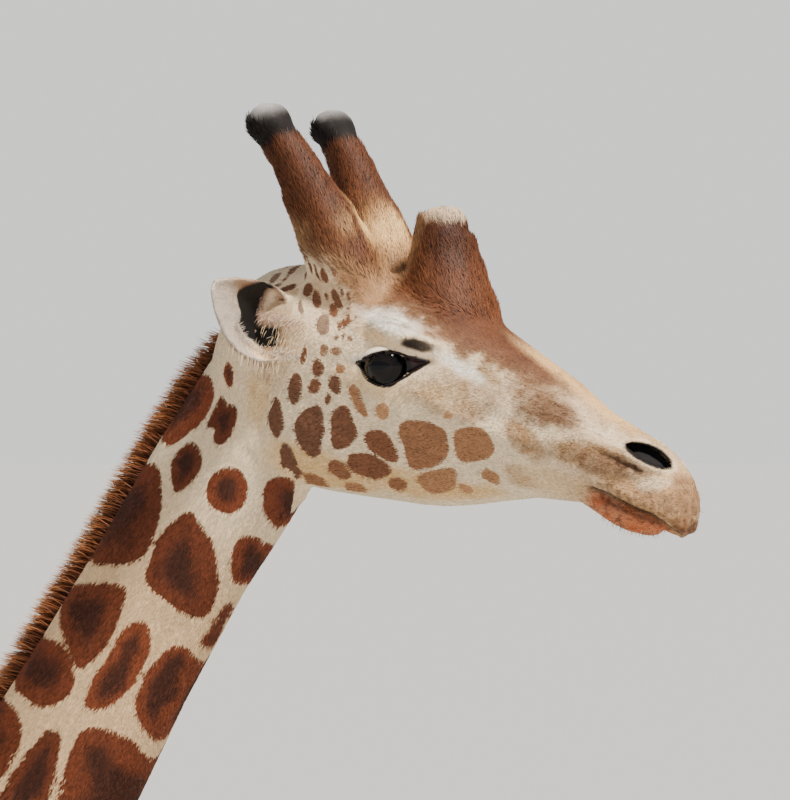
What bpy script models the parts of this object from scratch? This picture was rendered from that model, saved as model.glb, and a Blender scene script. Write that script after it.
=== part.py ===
"""A life-size adult bull giraffe, standing still with its neck carried forward and its head level.

Metres, +Z up, the animal faces +X and its left side is +Y. The origin is on the floor, under the
middle of the animal's box. The flesh is modelled whole, from lofted lengths that a voxel remesh
melts together, and is then parted with thin cuts where a person would name its parts.
"""

import math

import bmesh
import bpy
from mathutils import Matrix, Vector

GAP = 0.0004                      # clearance left by each thin cut between two nodes

# ---- driving dimensions of the animal ----
HEAD_AT = Vector((1.68, 0.0, 4.55))       # middle of the back of the skull
HEAD_PITCH = math.radians(21)             # nose carried this far below level
HOOF_TOP = 0.125                          # height of the coronet, where hair ends and horn begins
LEG_CUT = 1.685                           # legs are parted from the trunk just under the belly
EYE_RADIUS = 0.033
EYE_AT = Vector((0.205, 0.097, 0.024))    # in the head's frame: along it, out to its left, above its axis
EAR_LENGTH = 0.188
MANE_HEIGHT = 0.048
SIDES = {"left": 1, "right": -1}

BODY_VOXEL = 0.015
HEAD_VOXEL = 0.0055
BODY_TRIANGLES = 2500
HEAD_TRIANGLES = 1950

COLOURS = {
    "coat": (0.46, 0.20, 0.09),
    "face": (0.62, 0.45, 0.32),
    "mane": (0.30, 0.11, 0.05),
    "horn": (0.06, 0.05, 0.045),
    "eye": (0.012, 0.010, 0.009),
    "tuft": (0.03, 0.022, 0.018),
}
ROUGHNESS = {"coat": 0.85, "face": 0.85, "mane": 0.9, "horn": 0.55, "eye": 0.08, "tuft": 0.8}

# ---- trunk and neck: one row for each section, from rump to skull, in the plane of symmetry ----
# top x, top z, bottom x, bottom z, half width, squareness of its lower half
TORSO = [
    (-1.030, 2.335, -1.020, 2.210, 0.045, 1.0),   # root of the tail
    (-0.985, 2.420, -0.985, 2.020, 0.150, 1.0),
    (-0.890, 2.505, -0.870, 1.860, 0.235, 1.0),   # buttocks
    (-0.700, 2.595, -0.700, 1.760, 0.300, 1.0),   # point of the croup
    (-0.430, 2.675, -0.430, 1.720, 0.350, 1.0),
    (-0.140, 2.765, -0.120, 1.700, 0.392, 1.0),   # deepest part of the belly
    (0.140, 2.885, 0.200, 1.690, 0.385, 1.0),
    (0.310, 2.995, 0.500, 1.730, 0.345, 1.0),     # behind the shoulder
    (0.415, 3.055, 0.740, 1.900, 0.300, 0.95),    # withers, over the breastbone
    (0.500, 3.110, 0.880, 2.230, 0.255, 0.95),
    (0.605, 3.200, 0.895, 2.590, 0.205, 0.95),    # where the neck leaves the chest
    (0.715, 3.325, 0.955, 2.930, 0.165, 1.0),
    (0.845, 3.495, 1.073, 3.205, 0.140, 1.0),
    (1.025, 3.740, 1.256, 3.525, 0.118, 1.0),
    (1.247, 4.041, 1.455, 3.901, 0.100, 1.0),
    (1.404, 4.271, 1.586, 4.135, 0.091, 1.0),
    (1.509, 4.427, 1.692, 4.294, 0.088, 1.0),
    (1.590, 4.535, 1.772, 4.408, 0.085, 1.0),
]

# ---- head, in its own frame: along, top, widest level, bottom, half width, pinch of the lower half ----
HEAD = [
    (-0.080, -0.004, -0.035, -0.075, 0.034, 1.0),
    (-0.056, 0.060, -0.015, -0.150, 0.078, 1.0),  # poll
    (-0.010, 0.096, 0.010, -0.190, 0.101, 1.0),
    (0.055, 0.118, 0.015, -0.196, 0.112, 1.05),   # roots of the ears
    (0.120, 0.132, 0.020, -0.190, 0.116, 1.1),    # angle of the jaw
    (0.180, 0.140, 0.028, -0.178, 0.119, 1.15),
    (0.240, 0.137, 0.034, -0.163, 0.116, 1.2),    # eyes
    (0.300, 0.124, 0.034, -0.148, 0.097, 1.15),
    (0.350, 0.112, 0.030, -0.128, 0.082, 1.1),
    (0.400, 0.101, 0.026, -0.102, 0.070, 1.0),
    (0.445, 0.090, 0.020, -0.080, 0.061, 1.0),
    (0.500, 0.071, 0.012, -0.064, 0.055, 0.9),    # corner of the mouth
    (0.555, 0.062, 0.006, -0.048, 0.054, 0.85),
    (0.602, 0.051, 0.002, -0.045, 0.055, 0.8),   # nostrils
    (0.636, 0.031, -0.006, -0.051, 0.049, 0.8),
    (0.658, 0.005, -0.022, -0.056, 0.037, 0.85),
    (0.668, -0.020, -0.035, -0.050, 0.020, 1.0),  # tip of the upper lip
]
CHIN = [
    (0.455, -0.035, -0.050, -0.068, 0.030, 1.0),
    (0.505, -0.036, -0.048, -0.061, 0.041, 1.0),
    (0.545, -0.036, -0.052, -0.068, 0.043, 1.0),
    (0.578, -0.036, -0.056, -0.073, 0.043, 1.0),
    (0.606, -0.040, -0.056, -0.070, 0.038, 1.0),
    (0.625, -0.047, -0.056, -0.064, 0.024, 1.0),
]

# ---- legs: height, middle of the section along, half length, half width, distance from the midline ----
FRONT_LEG = [
    (2.52, 0.500, 0.150, 0.060, 0.185),
    (2.30, 0.545, 0.195, 0.085, 0.215),           # shoulder
    (2.05, 0.555, 0.195, 0.092, 0.238),
    (1.86, 0.520, 0.165, 0.088, 0.240),           # elbow
    (1.68, 0.500, 0.122, 0.077, 0.232),
    (1.45, 0.492, 0.088, 0.064, 0.225),
    (1.20, 0.488, 0.068, 0.055, 0.218),
    (1.06, 0.492, 0.072, 0.064, 0.216),           # knee
    (0.95, 0.490, 0.070, 0.063, 0.216),
    (0.84, 0.480, 0.052, 0.046, 0.216),
    (0.60, 0.474, 0.045, 0.038, 0.216),
    (0.36, 0.470, 0.047, 0.039, 0.218),
    (0.27, 0.466, 0.062, 0.050, 0.220),           # fetlock
    (0.20, 0.482, 0.053, 0.048, 0.222),
    (0.14, 0.508, 0.072, 0.064, 0.224),
    (0.11, 0.516, 0.080, 0.072, 0.225),
]
HIND_LEG = [
    (2.46, -0.660, 0.200, 0.075, 0.165),
    (2.24, -0.650, 0.245, 0.105, 0.190),          # haunch
    (2.02, -0.620, 0.252, 0.112, 0.208),
    (1.82, -0.580, 0.220, 0.098, 0.212),
    (1.64, -0.575, 0.168, 0.082, 0.210),          # stifle
    (1.45, -0.630, 0.122, 0.068, 0.208),
    (1.26, -0.705, 0.085, 0.056, 0.206),
    (1.12, -0.762, 0.080, 0.050, 0.206),          # point of the hock
    (1.02, -0.766, 0.073, 0.050, 0.206),
    (0.90, -0.752, 0.054, 0.043, 0.206),
    (0.62, -0.744, 0.044, 0.036, 0.207),
    (0.36, -0.740, 0.046, 0.038, 0.209),
    (0.27, -0.744, 0.060, 0.048, 0.211),          # fetlock
    (0.20, -0.726, 0.051, 0.046, 0.213),
    (0.14, -0.702, 0.069, 0.061, 0.215),
    (0.11, -0.694, 0.077, 0.069, 0.216),
]
# how far each foot stands ahead of the square stance
STRIDE = {("front", "left"): 0.085, ("front", "right"): -0.055,
          ("hind", "left"): -0.075, ("hind", "right"): 0.095}

# ---- tail: x, z and radius of the dock, then of the hanging switch of hair ----
DOCK = [(-0.930, 2.330, 0.050), (-1.030, 2.310, 0.048), (-1.095, 2.220, 0.042),
        (-1.115, 2.050, 0.034), (-1.118, 1.850, 0.027), (-1.112, 1.640, 0.023), (-1.108, 1.560, 0.022)]
SWITCH = [(-1.108, 1.575, 0.018), (-1.108, 1.500, 0.030), (-1.110, 1.350, 0.045), (-1.112, 1.150, 0.052),
          (-1.110, 0.950, 0.044), (-1.106, 0.820, 0.026), (-1.104, 0.760, 0.008)]


# ---- small helpers ----

def clear_scene():
    for obj in list(bpy.data.objects):
        bpy.data.objects.remove(obj)


def material(name):
    made = bpy.data.materials.get(name)
    if made:
        return made
    made = bpy.data.materials.new(name)
    made.use_nodes = True
    shader = made.node_tree.nodes["Principled BSDF"]
    shader.inputs["Base Color"].default_value = (*COLOURS[name], 1.0)
    shader.inputs["Roughness"].default_value = ROUGHNESS[name]
    return made


def collection(name):
    made = bpy.data.collections.new(name)
    bpy.context.scene.collection.children.link(made)
    return made


def as_object(name, bm, group):
    """The bmesh as an object of that name, in that collection, with its faces pointing out."""
    bm.normal_update()
    bmesh.ops.recalc_face_normals(bm, faces=bm.faces)
    mesh = bpy.data.meshes.new(name)
    bm.to_mesh(mesh)
    bm.free()
    obj = bpy.data.objects.new(name, mesh)
    group.objects.link(obj)
    return obj


def baked(obj):
    """Replaces the object's mesh by what its modifiers make of it."""
    graph = bpy.context.evaluated_depsgraph_get()
    mesh = bpy.data.meshes.new_from_object(obj.evaluated_get(graph))
    obj.modifiers.clear()
    old, obj.data = obj.data, mesh
    bpy.data.meshes.remove(old)
    return obj


def smooth_rows(rows, steps):
    """Catmull-Rom curve through the rows of a table, with that many steps between two rows."""
    rows = [Vector(row) for row in rows]
    ends = [rows[0] * 2 - rows[1]] + rows + [rows[-1] * 2 - rows[-2]]
    made = []
    for before, a, b, after in zip(ends, ends[1:], ends[2:], ends[3:]):
        for step in range(steps):
            t = step / steps
            made.append(0.5 * (2 * a + (b - before) * t + (2 * before - 5 * a + 4 * b - after) * t ** 2
                               + (3 * a - before - 3 * b + after) * t ** 3))
    return made + [rows[-1]]


def power(value, exponent):
    return math.copysign(abs(value) ** exponent, value)


def loft(name, rings, group):
    """A closed skin through rings of points, each ring with as many points as the next."""
    bm = bmesh.new()
    loops = [[bm.verts.new(point) for point in ring] for ring in rings]
    for near, far in zip(loops, loops[1:]):
        for i in range(len(near)):
            j = (i + 1) % len(near)
            bm.faces.new((near[i], near[j], far[j], far[i]))
    bm.faces.new(loops[0])
    bm.faces.new(reversed(loops[-1]))
    return as_object(name, bm, group)


def sagittal_ring(top, bottom, widest, half_width, pinch, sides):
    """An egg-shaped section across the plane of symmetry. top and bottom are points of that plane,
    widest is how far up from bottom to top it is widest, pinch over 1 narrows the lower half."""
    up = top - bottom
    middle = bottom + up * widest
    ring = []
    for k in range(sides):
        angle = math.tau * k / sides
        rise = math.sin(angle)
        reach = up * (1 - widest) if rise > 0 else up * widest
        across = power(math.cos(angle), 1.0 if rise > 0 else pinch)
        ring.append(middle + reach * rise + Vector((0, half_width * across, 0)))
    return ring


def tube(name, path, group, sides=20, steps=4):
    """A round tube along rows of x, y, z, radius."""
    rows = smooth_rows(path, steps)
    rings = []
    for i, row in enumerate(rows):
        ahead = rows[min(i + 1, len(rows) - 1)] - rows[max(i - 1, 0)]
        place = cut_frame(row[:3], ahead[:3])
        rings.append([place @ Vector((0, row[3] * math.cos(math.tau * k / sides),
                                      row[3] * math.sin(math.tau * k / sides))) for k in range(sides)])
    return loft(name, rings, group)


def ball(name, centre, radii, group, segments=24):
    bm = bmesh.new()
    bmesh.ops.create_uvsphere(bm, u_segments=segments, v_segments=segments // 2, radius=1.0)
    bm.transform(Matrix.Translation(centre) @ Matrix.Diagonal((*radii, 1.0)))
    return as_object(name, bm, group)


def box(name, low, high, group, placed=None):
    bm = bmesh.new()
    bmesh.ops.create_cube(bm, size=1.0)
    low, high = Vector(low), Vector(high)
    bm.transform(Matrix.Translation((low + high) / 2) @ Matrix.Diagonal((*(high - low), 1.0)))
    bm.transform(placed or Matrix.Identity(4))
    return as_object(name, bm, group)


def helper(obj):
    obj.hide_render = True
    obj.display_type = "WIRE"
    return obj


def boolean(obj, other, operation):
    step = obj.modifiers.new(operation.lower(), "BOOLEAN")
    step.operation = operation
    step.solver = "EXACT"
    step.object = other
    return baked(obj)


def melted(name, pieces, voxel, smoothing, group):
    """One skin round all the pieces: joined, remeshed and smoothed."""
    bm = bmesh.new()
    for piece in pieces:
        bm.from_mesh(piece.data)
        bpy.data.objects.remove(piece)
    whole = as_object(name, bm, group)
    remesh = whole.modifiers.new("melt", "REMESH")
    remesh.mode = "VOXEL"
    remesh.voxel_size = voxel
    relax = whole.modifiers.new("relax", "SMOOTH")
    relax.factor = 0.5
    relax.iterations = smoothing
    return baked(whole)


def thinned(obj, triangles):
    """The same shape on about that many triangles."""
    count = sum(len(face.vertices) - 2 for face in obj.data.polygons)
    step = obj.modifiers.new("thin", "DECIMATE")
    step.ratio = triangles / count
    step.use_collapse_triangulate = True
    return baked(obj)


def grown(obj, amount, group):
    """A copy of the object, swollen by that amount, to cut a neighbour clear of it."""
    copy = bpy.data.objects.new(obj.name + "_grown", obj.data.copy())
    group.objects.link(copy)
    step = copy.modifiers.new("swell", "DISPLACE")
    step.mid_level = 0.0
    step.strength = amount
    return helper(baked(copy))


def in_head(point):
    """A point of the head's frame, in the model's."""
    return HEAD_AT + Matrix.Rotation(HEAD_PITCH, 3, "Y") @ Vector(point)


HEAD_FRAME = Matrix.Translation(HEAD_AT) @ Matrix.Rotation(HEAD_PITCH, 4, "Y")


# ---- flesh ----

def torso(group):
    rings = []
    for top_x, top_z, bottom_x, bottom_z, half_width, pinch in smooth_rows(TORSO, 5):
        rings.append(sagittal_ring(Vector((top_x, 0, top_z)), Vector((bottom_x, 0, bottom_z)),
                                   0.46, half_width, pinch, 40))
    return loft("torso", rings, group)


def head_tube(name, table, group):
    rings = []
    for along, top, widest, bottom, half_width, pinch in smooth_rows(table, 5):
        share = (widest - bottom) / (top - bottom)
        rings.append(sagittal_ring(in_head((along, 0, top)), in_head((along, 0, bottom)),
                                   share, half_width, pinch, 40))
    return loft(name, rings, group)


def head_swellings(group):
    """Brow, cheek, nostril and lip, each a soft lump on both sides."""
    lumps = {
        "brow": ((0.215, 0.094, 0.066), (0.062, 0.032, 0.034)),
        "cheek": ((0.120, 0.060, -0.075), (0.115, 0.044, 0.088)),
        "crest": ((0.330, 0.058, 0.000), (0.110, 0.020, 0.024)),
        "nostril": ((0.578, 0.032, 0.018), (0.048, 0.026, 0.026)),
        "lip": ((0.598, 0.034, -0.020), (0.056, 0.027, 0.031)),
    }
    made = []
    for word, (centre, radii) in lumps.items():
        for side in SIDES.values():
            lump = ball(word, Vector((centre[0], side * centre[1], centre[2])), radii, group)
            lump.data.transform(HEAD_FRAME)
            made.append(lump)
    return made


def ossicone(side, group):
    """One of the rear pair: a shaft that leans back and out, wide at its root, with a round knob."""
    # along, out, up, radius
    path = [(0.115, 0.042, 0.066, 0.058), (0.085, 0.059, 0.118, 0.056), (0.046, 0.077, 0.165, 0.046),
            (0.008, 0.088, 0.202, 0.037), (-0.034, 0.098, 0.241, 0.030), (-0.064, 0.104, 0.264, 0.027)]
    shaft = tube("ossicone", [(*in_head((u, side * v, w)), r) for u, v, w, r in path], group)
    knob = ball("knob", in_head((-0.077, side * 0.106, 0.275)), (0.0325, 0.0325, 0.032), group)
    return [shaft, knob]


def median_ossicone(group):
    """The broad cone on the forehead, with a flat rounded top."""
    path = [(0.232, 0, 0.060, 0.096), (0.222, 0, 0.102, 0.082), (0.208, 0, 0.142, 0.064),
            (0.192, 0, 0.182, 0.050), (0.179, 0, 0.214, 0.041), (0.174, 0, 0.229, 0.035)]
    shaft = tube("median", [(*in_head(row[:3]), row[3]) for row in path], group, 28)
    top = ball("dome", in_head((0.171, 0, 0.228)), (0.036, 0.035, 0.016), group)
    return [shaft, top]


def leg(which, side, table, group):
    """A leg from inside the body down to the coronet. It swings with its stride below the belly."""
    stride, across = STRIDE[which, side], SIDES[side]
    rings = []
    for height, along, half_length, half_width, out in smooth_rows(table, 4):
        swing = stride * max(0.0, 1 - height / table[0][0])
        ring = []
        for k in range(28):
            angle = math.tau * k / 28
            ring.append(Vector((along + swing + half_length * math.cos(angle),
                                across * out + half_width * math.sin(angle), height)))
        rings.append(ring)
    return loft("leg", rings, group)


def dock(group):
    return tube("dock", [(x, 0, z, r) for x, z, r in DOCK], group)


def muscles(group):
    """Shoulders and haunches, which show through the coat."""
    lumps = {
        "blade": ((0.490, 0.145, 2.600), (0.190, 0.115, 0.370)),
        "upper_arm": ((0.640, 0.165, 2.230), (0.200, 0.120, 0.280)),
        "haunch": ((-0.660, 0.160, 2.150), (0.290, 0.140, 0.360)),
    }
    made = []
    for word, (centre, radii) in lumps.items():
        for side in SIDES.values():
            made.append(ball(word, Vector((centre[0], side * centre[1], centre[2])), radii, group))
    return made


# ---- what is not flesh ----

def ear(name, side, group):
    """A cupped leaf that stands out sideways, a little back and up, its hollow to the front."""
    root = in_head((0.036, side * 0.078, 0.008))
    length = Vector((-0.12, side * 0.93, 0.36)).normalized()
    hollow = (Vector((1.0, 0, -0.10)) - length * length.dot(Vector((1.0, 0, -0.10)))).normalized()
    width = length.cross(hollow) * side                       # points down on both sides
    # share of the length, half width, depth of the cup, half angle of the arc, drop of its middle
    sections = [(0.00, 0.044, 0.026, 150, 0.000), (0.15, 0.054, 0.030, 130, 0.006),
                (0.30, 0.057, 0.029, 110, 0.008), (0.50, 0.053, 0.021, 97, 0.012),
                (0.70, 0.043, 0.014, 88, 0.013), (0.88, 0.027, 0.009, 80, 0.010),
                (0.97, 0.0130, 0.006, 75, 0.0055), (1.00, 0.006, 0.004, 70, 0.003)]
    across = 6
    bm = bmesh.new()
    rows = []
    for share, half, depth, arc, drop in smooth_rows(sections, 1):
        middle = root + length * EAR_LENGTH * share + width * drop
        row = []
        for k in range(across + 1):
            angle = math.radians(arc) * (2 * k / across - 1)
            row.append(bm.verts.new(middle + width * half * math.sin(angle) - hollow * depth * math.cos(angle)))
        rows.append(row)
    for low, high in zip(rows, rows[1:]):
        for k in range(across):
            bm.faces.new((low[k], low[k + 1], high[k + 1], high[k]))
    made = as_object(name, bm, group)
    shell = made.modifiers.new("shell", "SOLIDIFY")
    shell.thickness = 0.008
    shell.offset = 0.0
    shell.use_quality_normals = True
    return baked(made)


def eye(name, side, group):
    centre = in_head((EYE_AT.x, side * EYE_AT.y, EYE_AT.z))
    return ball(name, centre, (EYE_RADIUS,) * 3, group, 14)


def mane(group):
    """The upright crest of hair from behind the ears to the withers, as far as the hair tips."""
    crest = [Vector((row[0], 0, row[1])) for row in smooth_rows(TORSO[8:], 2)]
    rings = []
    for i, point in enumerate(crest):
        along = (crest[min(i + 1, len(crest) - 1)] - crest[max(i - 1, 0)]).normalized()
        up = Vector((-along.z, 0, along.x))
        share = i / (len(crest) - 1)
        height = MANE_HEIGHT * min(1.0, 0.45 + share * 4.5, 0.36 + (1 - share) * 7)
        base, half = point - up * 0.035, 0.017
        outline = ((-1.0, 0), (-0.85, 0.55), (-0.45, 0.97), (0.45, 0.97), (0.85, 0.55), (1.0, 0))
        rings.append([base + up * ((height + 0.035) * rise) + Vector((0, half * across, 0))
                      for across, rise in outline])
    return loft("mane", rings, group)


def hoof(which, side, group):
    """The two claws of a foot: blunt wedges of horn with a cleft between them."""
    table = FRONT_LEG if which == "front" else HIND_LEG
    along = table[-1][1] + STRIDE[which, side] * (1 - HOOF_TOP / table[0][0])
    out = SIDES[side] * table[-1][4]
    size = 1.0 if which == "front" else 0.93
    # height, how far back, how far forward, half width
    outline = [(0.0, -0.098, 0.152, 0.092), (0.012, -0.099, 0.150, 0.092),
               (0.070, -0.092, 0.112, 0.083), (HOOF_TOP - GAP, -0.078, 0.074, 0.070)]
    for claw, inner in (("outer", SIDES[side]), ("inner", -SIDES[side])):
        rings = []
        for height, back, front, half in outline:
            ring = []
            for k in range(12):
                angle = math.pi * k / 11 - math.pi / 2
                reach = front if math.sin(angle) > 0 else -back
                ring.append(Vector((along + size * reach * power(math.sin(angle), 0.8),
                                    out + inner * (0.004 + size * half * power(math.cos(angle), 0.7)), height)))
            ring[0].x, ring[-1].x = along + size * back * 0.86, along + size * front * 0.90
            ring[0].y = ring[-1].y = out + inner * 0.004
            rings.append(ring)
        obj = loft(f"hoof_{which}_{side}_{claw}", rings, group)
        obj.data.materials.append(material("horn"))


def switch(group):
    """The tail's hanging tassel of long hair."""
    return tube("tail_switch", [(x, 0, z, r) for x, z, r in SWITCH], group, 9, 2)


# ---- parting ----

def part_off(rest, name, low, high, group, cutters, placed=None, colour="coat"):
    """Cuts the part of rest that lies in a box off as its own node, with a thin gap between them."""
    inside = box(name + "_region", low, high, cutters, placed)
    piece = bpy.data.objects.new(name, rest.data.copy())
    group.objects.link(piece)
    boolean(piece, inside, "INTERSECT")
    more = Vector((GAP,) * 3)
    outside = box(name + "_gap", Vector(low) - more, Vector(high) + more, cutters, placed)
    boolean(rest, outside, "DIFFERENCE")
    for cutter in (inside, outside):
        bpy.data.objects.remove(cutter)
    finish(piece, colour)
    return piece


def finish(obj, colour):
    obj.data.materials.clear()
    obj.data.materials.append(material(colour))
    obj.data.shade_smooth()
    obj.data.set_sharp_from_angle(angle=math.radians(50))


def cut_frame(through, forward):
    """A frame at a point, with its X along forward and its Y as near the animal's left as that leaves it."""
    along = Vector(forward).normalized()
    left = (Vector((0, 1, 0)) - along * along.y).normalized()
    turn = Matrix((along, left, along.cross(left))).transposed()
    return Matrix.Translation(Vector(through)) @ turn.to_4x4()


def jaw_prism(name, lift, group):
    """All that lies under the line of the mouth and the upper edge of the jaw, raised by lift."""
    line = [(0.75, -0.052), (0.665, -0.046), (0.630, -0.037), (0.585, -0.034), (0.545, -0.036), (0.515, -0.046),
            (0.450, -0.052), (0.330, -0.060), (0.215, -0.078), (0.150, -0.110), (0.118, -0.160), (0.100, -0.240)]
    outline = [(u, w + lift) for u, w in line] + [(0.100, -0.5), (0.75, -0.5)]
    bm = bmesh.new()
    ends = [[bm.verts.new((u, y, w)) for u, w in outline] for y in (-0.3, 0.3)]
    bm.faces.new(ends[0])
    bm.faces.new(reversed(ends[1]))
    for k in range(len(outline)):
        j = (k + 1) % len(outline)
        bm.faces.new((ends[0][k], ends[0][j], ends[1][j], ends[1][k]))
    bm.transform(HEAD_FRAME)
    return as_object(name, bm, group)


def part_head(head, model, cutters):
    """Horns, lower jaw and eye sockets, cut from the head in turn."""
    for side, across in SIDES.items():
        base, tip = in_head((0.060, across * 0.076, 0.152)), in_head((0.025, across * 0.086, 0.244))
        part_off(head, f"ossicone_{side}", (0, -0.056, -0.055), (0.25, 0.056, 0.18), model, cutters,
                 cut_frame(base, tip - base))
    base, tip = in_head((0.205, 0, 0.156)), in_head((0.172, 0, 0.232))
    part_off(head, "ossicone_median", (0, -0.092, -0.10), (0.2, 0.092, 0.085), model, cutters,
             cut_frame(base, tip - base))
    jaw = bpy.data.objects.new("lower_jaw", head.data.copy())
    model.objects.link(jaw)
    for piece, lift, operation in ((jaw, 0.0, "INTERSECT"), (head, GAP, "DIFFERENCE")):
        prism = jaw_prism("prism", lift, cutters)
        boolean(piece, prism, operation)
        bpy.data.objects.remove(prism)
    finish(jaw, "face")
    for side, across in SIDES.items():
        eyeball = eye(f"eye_{side}", across, model)
        finish(eyeball, "eye")
        socket = grown(eyeball, GAP, cutters)
        boolean(head, socket, "DIFFERENCE")
        bpy.data.objects.remove(socket)


def build():
    clear_scene()
    model, cutters, raw = collection("giraffe"), collection("cutters"), collection("raw")

    # the head, finely, with the top of the neck that it grows from
    nape = cut_frame((1.640, 0, 4.425), (0.85, 0, 0.53))
    neck_top = torso(raw)
    trimmer = box("trim", (-0.09, -0.5, -0.5), (0.5, 0.5, 0.5), cutters, nape)
    boolean(neck_top, trimmer, "INTERSECT")
    bpy.data.objects.remove(trimmer)
    pieces = [neck_top, head_tube("skull", HEAD, raw), head_tube("chin", CHIN, raw)]
    pieces += head_swellings(raw) + median_ossicone(raw)
    for across in SIDES.values():
        pieces += ossicone(across, raw)
    head = thinned(melted("head", pieces, HEAD_VOXEL, 6, model), HEAD_TRIANGLES)

    # the body, more coarsely, with legs, dock and a plain skull for the neck to run into
    pieces = [torso(raw), head_tube("skull", HEAD, raw), dock(raw)] + muscles(raw)
    for side in SIDES:
        pieces += [leg("front", side, FRONT_LEG, raw), leg("hind", side, HIND_LEG, raw)]
    trunk = thinned(melted("trunk", pieces, BODY_VOXEL, 10, model), BODY_TRIANGLES)

    # ears and mane stand on the flesh, cut clear of it
    swollen = [grown(head, GAP, cutters), grown(trunk, GAP, cutters)]
    for side, across in SIDES.items():
        leaf = boolean(ear(f"ear_{side}", across, model), swollen[0], "DIFFERENCE")
        finish(leaf, "coat")
    crest = mane(model)
    for cutter in swollen:
        boolean(crest, cutter, "DIFFERENCE")
        bpy.data.objects.remove(cutter)
    finish(crest, "mane")

    # nape: the head lies before this plane and the neck behind it, and horn replaces the feet
    coronet = box("region", (-3, -1, HOOF_TOP), (3, 1, 6), cutters)
    boolean(trunk, coronet, "INTERSECT")
    bpy.data.objects.remove(coronet)
    for piece, low, high in ((head, (GAP / 2, -1, -1), (2, 1, 1)), (trunk, (-6, -6, -6), (-GAP / 2, 6, 6))):
        region = box("region", low, high, cutters, nape)
        boolean(piece, region, "INTERSECT")
        bpy.data.objects.remove(region)

    half_way = cut_frame((1.215, 0, 3.790), (0.85, 0, 0.53))
    root = cut_frame((0.765, 0, 2.925), (0.84, 0, 0.54))
    part_off(trunk, "neck_upper", (0, -1, -1), (2, 1, 1), model, cutters, half_way)
    part_off(trunk, "neck_lower", (0, -1, -0.6), (2, 1, 1), model, cutters, root)

    tail = part_off(trunk, "tail", (-1.4, -0.3, 1.0), (-1.048, 0.3, 2.6), model, cutters)
    region = box("region", (-1.4, -0.3, 1.585), (-0.9, 0.3, 2.6), cutters)
    boolean(tail, region, "INTERSECT")
    bpy.data.objects.remove(region)
    finish(switch(model), "tuft")

    for which, table, knee in (("front", FRONT_LEG, 0.93), ("hind", HIND_LEG, 0.97)):
        for side, across in SIDES.items():
            x, reach = table[4][1], 0.55
            near, out = sorted((across * 0.02, across * 0.6))
            part_off(trunk, f"leg_{which}_{side}_upper", (x - reach, near, knee + GAP / 2),
                     (x + reach, out, LEG_CUT), model, cutters)
            part_off(trunk, f"leg_{which}_{side}_lower", (x - reach, near, 0),
                     (x + reach, out, knee - GAP / 2), model, cutters)
            hoof(which, side, model)

    part_head(head, model, cutters)
    finish(head, "face")
    finish(trunk, "coat")

    # the origin goes under the middle of the box
    nodes = [obj for obj in model.objects]
    corners = [obj.matrix_world @ vertex.co for obj in nodes for vertex in obj.data.vertices]
    low = Vector([min(corner[k] for corner in corners) for k in range(3)])
    high = Vector([max(corner[k] for corner in corners) for k in range(3)])
    for obj in nodes:
        obj.data.transform(Matrix.Translation((-(low.x + high.x) / 2, -(low.y + high.y) / 2, -low.z)))
    for group in (cutters, raw):
        bpy.data.collections.remove(group)


build()
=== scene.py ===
"""Dresses the life-size giraffe: one hide over all its flesh, with its markings, lids and folds, then a short
coat in flat tufts, an upright mane, a black tail tassel, wet eyes and worn hooves."""

import math

import bmesh
import bpy
import numpy as np
from mathutils import Matrix, Vector
from mathutils.bvhtree import BVHTree


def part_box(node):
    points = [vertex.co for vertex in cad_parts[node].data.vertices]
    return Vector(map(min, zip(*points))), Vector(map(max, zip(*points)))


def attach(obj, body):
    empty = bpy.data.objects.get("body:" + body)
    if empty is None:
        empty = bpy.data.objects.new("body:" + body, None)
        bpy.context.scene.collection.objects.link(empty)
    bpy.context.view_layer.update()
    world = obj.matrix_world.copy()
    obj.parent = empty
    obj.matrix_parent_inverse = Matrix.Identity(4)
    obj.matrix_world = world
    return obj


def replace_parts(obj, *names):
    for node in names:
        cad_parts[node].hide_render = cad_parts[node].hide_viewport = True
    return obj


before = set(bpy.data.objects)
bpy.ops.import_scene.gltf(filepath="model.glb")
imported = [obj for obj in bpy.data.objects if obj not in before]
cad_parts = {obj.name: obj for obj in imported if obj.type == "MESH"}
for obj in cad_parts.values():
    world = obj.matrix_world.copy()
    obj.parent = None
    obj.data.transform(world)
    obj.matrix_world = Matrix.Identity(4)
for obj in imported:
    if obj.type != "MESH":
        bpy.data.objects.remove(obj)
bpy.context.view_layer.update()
RNG = np.random.default_rng(11)

# ---- the head's own frame: along it, out to the left, above its axis ----
HEAD_TURN = Matrix.Rotation(math.radians(21), 3, "Y")
EYE_LEVEL = Vector((0.205, 0.0, 0.024))           # middle between the eyes, in the head's frame
EYE_BOXES = {side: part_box(f"eye_{side}") for side in ("left", "right")}
EYES = {side: (low + high) / 2 for side, (low, high) in EYE_BOXES.items()}
EYE_RADIUS = (EYE_BOXES["left"][1].z - EYE_BOXES["left"][0].z) / 2
HEAD_AT = (EYES["left"] + EYES["right"]) / 2 - HEAD_TURN @ EYE_LEVEL
SIDES = {"left": 1, "right": -1}

# ---- the neck's frame: down it from the back of the skull, and across it from crest to throat ----
NECK_DOWN = Vector((-0.527, 0, -0.850))
NECK_ACROSS = Vector((0.850, 0, -0.527))

# ---- the opening between the lids, seen from the side: level, as the head is carried ----
LID_MIDDLE = Vector((0.2137, 0, -0.0461))         # from the head's reference, in the model's own axes
LID_HALF = 0.0524

TASSEL_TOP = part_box("tail_switch")[1].z

# ---- depth by which the hide lies inside the solids ----
COAT_HEAD, COAT_BODY = 0.0020, 0.0045

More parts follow.
